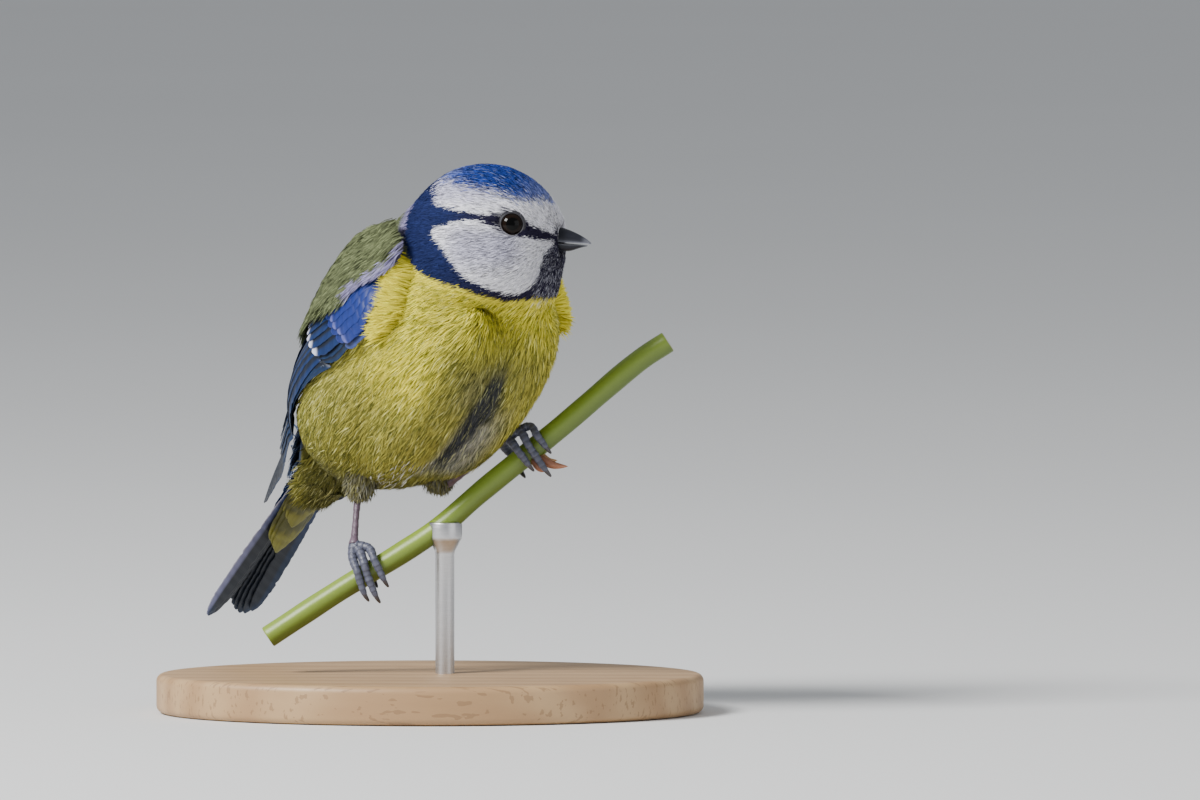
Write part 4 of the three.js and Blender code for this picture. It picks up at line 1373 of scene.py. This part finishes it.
class BLUETIT_OT_tail(bpy.types.Operator):
    """Twelve tail feathers with coverts over and under their roots"""

    bl_idname = "blue_tit.tail"
    bl_label = "Tail"

    def execute(self, context):
        rng = np.random.default_rng(context.scene.blue_tit_plumage.seed + 5)
        made = [self.feather(pair, side, rng) for pair in reversed(range(TAIL_PAIRS)) for side in (1, -1)]
        over_tail = (1, 15, 1.6, tone_of("tail", "wing", "wing", 0.9, 0.5))
        # The under-tail coverts take the vent's colour and an olive tip, both darkened by painted shade
        under_tail = (-1, 19, -1.9, tone_of("vent_painted_shade", "vent_painted_shade", "yellow_painted_shade", 0.8, 0.4))
        for facing, reach, lift, tone in (over_tail, under_tail):
            for tier in (0, 1):
                for root in np.linspace(-2.8, 2.8, 7):
                    made.append(self.covert(facing, reach, lift, tier, root, tone, rng))
        vanes_piece("tail_vanes", made, bpy.data.materials["flight_vane"], "tail")
        return {"FINISHED"}

    def feather(self, pair, side, rng):
        """Outer pairs lie deeper and spread further, and the right side's lie under the left's."""
        deep = -0.3 * pair - (0 if side > 0 else 0.15)
        end = TAIL_END + TAIL_SHORTER[pair]
        spread = side * (0.9 + 0.72 * pair)
        near_side = side < 0

        def point_at(along, aside):
            along, aside = along.ravel(), aside.ravel()
            across = side * 0.4 * (pair + 1) * (1 - along) + spread * along + aside
            up = lerp(10.7 + 0.5 * deep, 13.8 + deep, along) - 0.02 * aside**2 - 0.03 * (spread * along) ** 2
            return on_body(lerp(-31, end, along), across, up)

        # On the near, right side the outer pairs get a pale outer web and the outermost a pale rim: the feathers'
        # own pale edges with painted light on the lit edge
        outer = "tail_pale" if near_side and pair > 3 else "quill_edge"
        rim = "bar" if near_side and pair == 5 else None
        tone = tone_of("quill", outer, "quill_edge", 0.97, -0.4 if pair else 0.9, base="tail", rim=rim)

        def toned(along, across):
            return tone(along, -across * side)

        return vane(point_at, 4.6 - 0.1 * pair, LONG_VANE, toned, rng, 60)

    def covert(self, facing, reach, lift, tier, root, tone, rng):
        out = reach * (1 - 0.35 * tier) - 0.9 * abs(root)

        def point_at(along, aside):
            along, aside = along.ravel(), aside.ravel()
            level = 10.5 + lerp(0.6 * lift, lift + 0.8, along)
            up = level + facing * (0.2 * tier - 0.08 * root**2) - facing * 0.05 * aside**2
            return on_body(lerp(-32, -35 - out, along), root * lerp(1, 0.7, along) + aside, up, facing)

        return vane(point_at, 3.2, SHORT_VANE, tone, rng, 24)


# The bill's halves: forward, half-width, top and bottom, in the head's frame
UPPER_BILL = [(9.4, 2, 2.3, -0.28), (12.4, 1.85, 2.04, -0.28), (13.8, 1.52, 1.74, -0.27),
              (15.6, 0.98, 1.12, -0.22), (16.9, 0.52, 0.5, -0.2), (17.6, 0.16, 0.0, -0.24)]
LOWER_BILL = [(9.4, 1.9, -0.58, -2.2), (12, 1.75, -0.58, -1.95), (14.1, 1.35, -0.57, -1.74),
              (15.8, 0.8, -0.52, -1.06), (17, 0.25, -0.5, -0.66)]
BILL_EDGE_TINT = (0.34, 0.35, 0.4)


class BLUETIT_OT_bill(bpy.types.Operator):
    """The bill's two halves, with nostrils, pale cutting edges and the corners of the gape"""

    bl_idname = "blue_tit.bill"
    bl_label = "Bill"

    def execute(self, context):
        horn = np.array(context.scene.blue_tit_face.horn)
        material = horn_finish("bill_horn", 0.36, Specular_IOR_Level=0.22)
        upper = self.half_bill("upper", UPPER_BILL, 1, 0.55, horn, material)
        self.half_bill("lower", LOWER_BILL, -1, 0.4, horn, material)
        self.open_nostrils(upper)
        corner = horn_finish("gape_skin", 0.45)
        for side, name in ((1, "left"), (-1, "right")):
            line = ((9.2, side * 2.5, -0.75), (10.4, side * 2.25, -0.5), (12.2, side * 1.86, -0.43))
            path = smooth_line([world(HEAD, q) for q in line], 14)
            rings = tube_rings(path, 0.3 * np.sin(np.linspace(0.5, 2.9, 14)) + 0.04, 12)
            extruded("gape_corner_" + name, rings, corner, tinted((0.2, 0.12, 0.08), rings))
        return {"FINISHED"}

    def half_bill(self, name, table, dome, edge_pale, horn, material):
        """One half: domed up or down from its cutting edge, which is pale like the tip."""
        turn = round_turn(32)
        rise = np.clip(np.sin(turn) * dome, 0, 1) ** 0.92
        by_edge = np.exp(-((rise - 0.06) / 0.1) ** 2) * edge_pale
        tuck = 0.12 * np.exp(-((rise - 0.25) / 0.12) ** 2)
        rings, tints = [], []
        for forward, half, top, bottom in smooth_line(table, 40):
            edge, crest = (bottom, top) if dome > 0 else (top, bottom)
            q = [np.full(turn.size, forward), half * (1 - tuck) * np.cos(turn), edge + (crest - edge) * rise]
            rings.append(world(HEAD, np.stack(q, axis=1)))
            pale = np.clip(by_edge + 0.35 * smooth(forward, 15.8, 17.4), 0, 1)
            tints.append(mix(horn, BILL_EDGE_TINT, pale))
        piece = extruded("bill_horn_" + name, rings, material, tints, 60)
        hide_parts("bill_" + name)
        return piece

    def open_nostrils(self, bill):
        for side in (1, -1):
            deselect()
            place = world(HEAD, (11.9, side * 1.86, 0.8)) * MM
            bpy.ops.mesh.primitive_uv_sphere_add(segments=20, ring_count=12, radius=0.0003, location=place,
                                                 scale=(1.3, 0.9, 0.7))
            carve(bill, bpy.context.object)


class BLUETIT_OT_eyes(bpy.types.Operator):
    """Eyes behind their lids"""

    bl_idname = "blue_tit.eyes"
    bl_label = "Eyes"

    def execute(self, context):
        face = context.scene.blue_tit_face
        wet = eye_finish()
        lid_skin = horn_finish("lid_skin", 0.55)
        radius = face.eye_radius / MM
        for side, name in ((1, "left"), (-1, "right")):
            axis = eye_axis(side)
            centre = EYE_POLES[side] + axis * (face.eye_proud / MM - radius)
            turned = Vector((0, 0, 1)).rotation_difference(Vector(axis)).to_euler()
            deselect()
            bpy.ops.mesh.primitive_uv_sphere_add(segments=64, ring_count=48, radius=face.eye_radius,
                                                 location=centre * MM, rotation=turned)
            eye = bpy.context.object
            eye.name = "eyeball_" + name
            finish(eye, wet)
            points = points_of(eye.data)
            from_centre = points - centre
            angle = np.degrees(np.arccos(np.clip(unit(from_centre) @ axis, -1, 1)))
            pupil = below(angle, 26, 29)[:, None]
            edge = smooth(angle, 40, 54)[:, None]
            rays = 1 + 0.25 * np.sin(np.arctan2(from_centre[:, 2], from_centre[:, 0]) * 31)[:, None]
            colour = np.array(face.iris) * rays * (1 - 0.85 * edge) * (1 - pupil) + 0.002 * pupil
            paint(eye, points * MM, np.clip(colour, 0, 1))
            bpy.ops.object.shade_smooth()
            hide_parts("eye_" + name)
            self.add_lids(centre, axis, turned, name, lid_skin)
        return {"FINISHED"}

    def add_lids(self, centre, axis, turned, name, material):
        rings = []
        for grow, height, tube in ((1.93, 1.3, 0.17), (2.15, 1.12, 0.22)):
            deselect()
            place = (centre + axis * height) * MM
            bpy.ops.mesh.primitive_torus_add(major_segments=72, minor_segments=12, major_radius=grow * MM,
                                             minor_radius=tube * MM, location=place, rotation=turned)
            rings.append(bpy.context.object)
        lids = joined("lids_" + name, rings)
        finish(lids, material)
        points = points_of(lids.data)
        from_axis = points - centre - np.outer((points - centre) @ axis, axis)
        low = smooth(-unit(from_axis)[:, 2], -0.1, 0.8)[:, None]
        inner = below(np.linalg.norm(from_axis, axis=1), 1.9, 2.05)[:, None]
        colour = np.array((0.025, 0.024, 0.03)) + np.array((0.2, 0.19, 0.2)) * low * inner
        paint(lids, points * MM, colour)
        bpy.ops.object.shade_smooth()


# The stem's middle line, and the legs and toes by it
STEM_LINE = [(-27.2, 0, 12.6), (-15.1, 0, 20.5), (-5, 0, 26.6), (1.7, 0, 31.1), (8.4, 0, 36.9),
             (21.8, 0, 47.8), (35.3, 0, 59.2), (40, 0, 62.3)]
STEM_POINTS = smooth_line(STEM_LINE, 400)


def by_stem(x, above, front):
    """A place by the stem: above its middle line and in front of it."""
    at = np.array([np.interp(x, STEM_POINTS[:, 0], STEM_POINTS[:, k]) for k in range(3)])
    k = int(np.clip(np.searchsorted(STEM_POINTS[:, 0], x), 1, len(STEM_POINTS) - 2))
    way = unit(STEM_POINTS[k + 1] - STEM_POINTS[k - 1])
    return at + np.array([-way[2], 0, way[0]]) * above + np.array([0, -front, 0])


HOLD = 2.82  # from the stem's middle line to a toe's
LEGS = {
    "right": {"knee": (-9, -6.5, -1), "ankle": (-12.1, 4.5, 36.4), "joint": (-10.1, 5.3, 0),
              "toes": {"outer": (-11.1, -12.3, 3.7, 2.7), "middle": (-9.8, -11, 3.8, 3.9),
                       "inner": (-8.4, -8.8, 3.6, 2.3)},
              "back": (-10.1, -10.3)},
    "left": {"knee": (-9, 6.5, -1), "ankle": (1.4, 11, 37.2), "joint": (15.4, 4.4, -0.3),
             "toes": {"inner": (15.8, 15.7, 3.5, 1.5), "middle": (17.5, 17, 3.8, 4),
                      "outer": (19, 18.9, 3.4, 1)},
             "back": (14.6, 14.2)},
}
CLAW_LENGTH = 2.3


def scutes(length, pitch, per=6):
    """Places along a limb and how its radius swells there: each scale laps over the next."""
    count = max(3, int(round(length / pitch)))
    phase = np.linspace(0, 1, per, endpoint=False)
    share = (np.arange(count)[:, None] + phase).ravel() / count
    swell = np.tile(0.93 + 0.13 * phase**0.7, count)
    return np.append(share, 1.0), np.append(swell, 0.95)


class BLUETIT_OT_legs(bpy.types.Operator):
    """Scaled legs, toes that hold the stem, and claws"""

    bl_idname = "blue_tit.legs"
    bl_label = "Legs"

    def execute(self, context):
        feet = context.scene.blue_tit_feet
        scaled = scaled_leg_finish()
        claw_horn = horn_finish("claw_horn", 0.3)
        for name, leg in LEGS.items():
            knee, ankle, joint = world(BODY, leg["knee"]), np.array(leg["ankle"]), by_stem(*leg["joint"])
            bone = [ankle + (knee - ankle) * 0.12, ankle, joint]
            share, swell = scutes(length_of(bone), 1.7)
            path = smooth_line(bone, 200)[(share * 199).astype(int)]
            radii = np.interp(share, [0, 0.15, 0.55, 0.85, 1], [0.9, 0.8, 0.66, 0.78, 1.15]) * swell
            rings = tube_rings(path, radii, 20, 0.8)
            warm = np.interp(share, [0, 0.5, 1], [0.9, 0.75, 0.9])
            colour = np.array(feet.scale_colour) * 0.9 + np.array((0.075, 0.02, 0.02))
            # Painted highlight: each scale is lighter where it swells at its lapping rim
            tints = tinted(colour, rings, warm * (0.75 + 2.6 * (swell - 0.93)))
            shank = extruded("shank_" + name, rings, scaled, tints, 70)
            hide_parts("tarsus_" + name)
            paths = {}
            for toe, (start, end, base, hang) in leg["toes"].items():
                paths[toe] = [joint, by_stem(start, base, 1.1), by_stem(lerp(start, end, 0.3), 1.6, HOLD),
                              by_stem(lerp(start, end, 0.6), 0, HOLD), by_stem(end, -hang, HOLD),
                              by_stem(end, -hang - 1, HOLD - 0.5), by_stem(end, -hang - 1.4, HOLD - 1.6)]
            first, last = leg["back"]
            paths["back"] = [joint, by_stem(first, 3.4, -1.6), by_stem(first, 1.4, -HOLD),
                             by_stem(last, -0.2, -HOLD), by_stem(last, -1.9, -2), by_stem(last, -2.6, -1), by_stem(last, -2.9, 0.2)]
            for toe, points in paths.items():
                self.add_toe(toe + "_" + name, points, feet, scaled, claw_horn)
        return {"FINISHED"}

    def add_toe(self, name, points, feet, scaled, claw_horn):
        length = length_of(points)
        split = 1 - CLAW_LENGTH / length
        share, swell = scutes(length * split, 0.95)
        dense = smooth_line(points, 400, 0, split)
        path = dense[(share * 399).astype(int)]
        joints = 1 + 0.1 * np.exp(-((share - 0.42) / 0.06) ** 2) + 0.1 * np.exp(-((share - 0.72) / 0.05) ** 2)
        taper = np.interp(share, [0, 0.2, 0.45, 0.67, 0.93, 1], [0.95, 0.8, 0.66, 0.64, 0.56, 0.4])
        radii = taper * swell * joints
        rings = tube_rings(path, radii, 20)
        # Painted highlight: each scale is lighter where it swells at its lapping rim
        tints = tinted(feet.scale_colour, rings, 0.6 + 4.5 * (swell - 0.93))
        toe = extruded("scaled_toe_" + name, rings, scaled, tints, 70)
        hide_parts("toe_" + name)
        line = smooth_line(points, 22, split - 0.25 / length, 1)
        share = np.linspace(0, 1, 22)
        rings = tube_rings(line, np.interp(share, [0, 0.2, 0.7, 1], [0.4, 0.38, 0.2, 0.03]), 16)
        claw = extruded("horn_claw_" + name, rings, claw_horn, tinted(feet.claw_colour, rings, 1.5 - share), 60)
        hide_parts("claw_" + name)


class BLUETIT_OT_stem(bpy.types.Operator):
    """The cut stem, with a bud under the left foot"""

    bl_idname = "blue_tit.stem"
    bl_label = "Stem"

    def execute(self, context):
        perch = context.scene.blue_tit_perch
        rng = np.random.default_rng(11)
        green = stem_finish()
        steps, sides = 150, 40
        share = np.concatenate([[0, 0, 0, 0.0008], np.linspace(0.0025, 0.9975, steps), [0.9992, 1, 1, 1]])
        path = smooth_line(STEM_LINE, 1200)[(share * 1199).astype(int)]
        path = path + unit(path[-1] - path[0]) * np.linspace(-0.0005, 0.0005, len(path))[:, None]
        ends = np.array([0.05, 0.55, 0.9, 0.97] + [1] * steps + [0.97, 0.9, 0.55, 0.05])
        turn = round_turn(sides)
        ridges = 1 + 0.012 * np.sin(5 * turn) + 0.006 * np.sin(11 * turn + 1)
        wave = 1 + 0.012 * np.sin(share * 23) + 0.01 * np.sin(share * 57 + 2)
        radii = perch.stem_radius / MM * ends[:, None] * wave[:, None] * ridges[None]
        rings = tube_rings(path, radii, sides)
        out = unit(rings - path[:, None])
        # Painted shade: the stem's underside is darkened
        low = smooth(-out[..., 2], -0.3, 0.7)[..., None]
        colour = np.array(perch.stem_colour)
        tints = colour * (1 - low) + colour * np.array([0.5, 0.52, 0.45]) * low
        pith = (ends < 0.95)[:, None, None]
        tints = np.where(pith, np.array((0.55, 0.55, 0.34)), tints)
        stem = extruded("perch_stem", rings, green, tints, 50)
        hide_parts("stem")
        self.add_bud(rng)
        return {"FINISHED"}

    def add_bud(self, rng):
        husk = horn_finish("bud_husk", 0.5)
        buds = []
        for start, end, radius, red in (
            (by_stem(17.2, -1.5, 0.5), np.array([23.2, -1.6, 41.4]), 1.0, (0.32, 0.13, 0.07)),
            (by_stem(16.6, -1.4, 0.9), np.array([19.6, -2.0, 40.6]), 0.95, (0.26, 0.1, 0.05)),
            (by_stem(17.6, -1.3, 0.2), np.array([21.4, -0.8, 42.4]), 0.8, (0.38, 0.2, 0.08)),
        ):
            bow = (start + end) / 2 + np.array([0, -0.2, -0.5])
            path = smooth_line([start, bow, end], 26)
            share = np.linspace(0, 1, 26)
            radii = radius * np.sin(np.pi * (0.22 + 0.78 * share) ** 0.8) ** 0.8 + 0.03
            rings = tube_rings(path, radii, 18, 0.75)
            tints = tinted(red, rings, 0.7 + 0.7 * share) + 0.02 * rng.random((26, 18, 1))
            buds.append(extruded("bud_scale", rings, husk, tints, 60))
        bud = joined("stem_bud", buds)
        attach(bud, "root")


# The base's half-width, half-depth, height and rounded edge
BASE_WIDE, BASE_DEEP, BASE_TOP, BASE_EDGE = 46, 34, 6.5, 1.2
SEAT_RADIUS = 2.02


class BLUETIT_OT_stand(bpy.types.Operator):
    """A plain oval base and the steel rod that holds the stem"""

    bl_idname = "blue_tit.stand"
    bl_label = "Stand"

    def execute(self, context):
        self.add_base()
        self.add_rod(context.scene.blue_tit_perch.rod_radius / MM)
        return {"FINISHED"}

    def add_base(self):
        def rounded(turn):
            """How far the rounded edge stands in from a flat side, and over it."""
            return BASE_EDGE * (1 - math.sin(turn)), BASE_EDGE * (1 - math.cos(turn))

        lower = [(0.9 * BASE_WIDE, 0), (BASE_EDGE, 0)]
        lower += [rounded(a) for a in np.linspace(0.2, math.pi / 2, 6)]
        upper = [(inset, BASE_TOP - drop) for drop, inset in map(rounded, np.linspace(0, math.pi / 2, 7))]
        upper += [(inset, BASE_TOP) for inset in (10, 25, 33)]
        outline = [(BASE_WIDE - inset, max(BASE_DEEP - inset, 0.3 * (BASE_WIDE - inset) / BASE_WIDE), height)
                   for inset, height in lower + upper]
        base = extruded("stand_oak_base", height_rings(outline, 120), wood_finish(), None, 35)
        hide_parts("stand_base")

    def add_rod(self, radius):
        """The rod widens to a cup under the stem, with a seat cut to the stem's shape."""
        outline = [(0.3, 3.0), (radius, 3.0), (radius, 3.2), (radius, 10), (radius, 20), (radius, 26.6),
                   (radius + 0.15, 27.2), (2.6, 28.8), (2.86, 29.2), (2.9, 29.6), (2.9, 31.7), (2.82, 31.93),
                   (2.7, 32), (0.3, 32)]
        rings = height_rings([(wide, wide, height) for wide, height in outline], 64, (2.5, 0))
        rod = extruded("stand_steel_rod", rings, steel_finish(), None, 35)
        seat = tube_rings(smooth_line(STEM_LINE, 60), np.full(60, SEAT_RADIUS), 48)
        carve(rod, extruded("cutter", seat, rod.data.materials[0]))
        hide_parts("stand_rod")


# The camera: where it looks, from how far in metres, and how far down in degrees
CAMERA_AIM = Vector((0.02856, 0, 0.0525))
CAMERA_REACH = 3
CAMERA_DIP = 3
CAMERA_LENS = 536


class BLUETIT_OT_stage(bpy.types.Operator):
    """A pale floor, soft studio light and the camera"""

    bl_idname = "blue_tit.stage"
    bl_label = "Stage"

    def execute(self, context):
        stage = context.scene.blue_tit_stage
        deselect()
        bpy.ops.mesh.primitive_plane_add(size=40, location=(0, 0, -0.0001))
        floor = context.object
        floor.name = "floor"
        floor.data.materials.append(floor_finish())
        middle = Vector((0.005, 0, 0.055))
        for name, place, size, power in (
            ("key", (-0.85, -0.62, 0.95), 0.5, stage.key),
            ("fill", (0.9, -0.7, 0.35), 0.8, stage.fill),
        ):
            light = bpy.data.lights.new(name, "AREA")
            light.energy = power
            light.size = size
            lamp = bpy.data.objects.new(name, light)
            lamp.location = place
            lamp.rotation_euler = (middle - Vector(place)).to_track_quat("-Z", "Y").to_euler()
            context.scene.collection.objects.link(lamp)
        sky = bpy.data.worlds.new("sky")
        sky.use_nodes = True
        sky.node_tree.nodes["Background"].inputs["Color"].default_value = (0.9, 0.94, 1.0, 1)
        sky.node_tree.nodes["Background"].inputs["Strength"].default_value = stage.sky
        context.scene.world = sky
        lens = bpy.data.cameras.new("camera")
        lens.sensor_width = 36
        lens.lens = CAMERA_LENS
        lens.clip_end = 100
        camera = bpy.data.objects.new("camera", lens)
        back = Vector((0, -math.cos(rad(CAMERA_DIP)), math.sin(rad(CAMERA_DIP))))
        camera.location = CAMERA_AIM + CAMERA_REACH * back
        camera.rotation_euler = (rad(90 - CAMERA_DIP), 0, 0)
        context.scene.collection.objects.link(camera)
        context.scene.camera = camera
        return {"FINISHED"}


class BLUETIT_PT_panel(bpy.types.Panel):
    """The bird's pieces, in the order in which they are made"""

    bl_idname = "BLUETIT_PT_panel"
    bl_label = "Blue tit"
    bl_space_type = "VIEW_3D"
    bl_region_type = "UI"
    bl_category = "Blue tit"

    def draw(self, context):
        layout = self.layout
        for group in SETTINGS:
            settings = getattr(context.scene, group)
            for name in settings.__annotations__:
                layout.prop(settings, name)
        for step in STEPS:
            layout.operator(step.bl_idname)


SETTINGS = {"blue_tit_plumage": BlueTitPlumage, "blue_tit_face": BlueTitFace, "blue_tit_feet": BlueTitFeet,
            "blue_tit_perch": BlueTitPerch, "blue_tit_stage": BlueTitStage}
STEPS = (BLUETIT_OT_stage, BLUETIT_OT_skin, BLUETIT_OT_coat, BLUETIT_OT_wings, BLUETIT_OT_tail, BLUETIT_OT_bill,
         BLUETIT_OT_eyes, BLUETIT_OT_legs, BLUETIT_OT_stem, BLUETIT_OT_stand)


def register():
    for name, group in SETTINGS.items():
        bpy.utils.register_class(group)
        setattr(bpy.types.Scene, name, bpy.props.PointerProperty(type=group))
    for step in STEPS:
        bpy.utils.register_class(step)
    bpy.utils.register_class(BLUETIT_PT_panel)


def unregister():
    bpy.utils.unregister_class(BLUETIT_PT_panel)
    for step in reversed(STEPS):
        bpy.utils.unregister_class(step)
    for name, group in reversed(SETTINGS.items()):
        delattr(bpy.types.Scene, name)
        bpy.utils.unregister_class(group)


def main():
    register()
    bpy.ops.blue_tit.stage()
    bpy.ops.blue_tit.skin()
    bpy.ops.blue_tit.coat()
    bpy.ops.blue_tit.wings()
    bpy.ops.blue_tit.tail()
    bpy.ops.blue_tit.bill()
    bpy.ops.blue_tit.eyes()
    bpy.ops.blue_tit.legs()
    bpy.ops.blue_tit.stem()
    bpy.ops.blue_tit.stand()


if __name__ == "__main__":
    main()
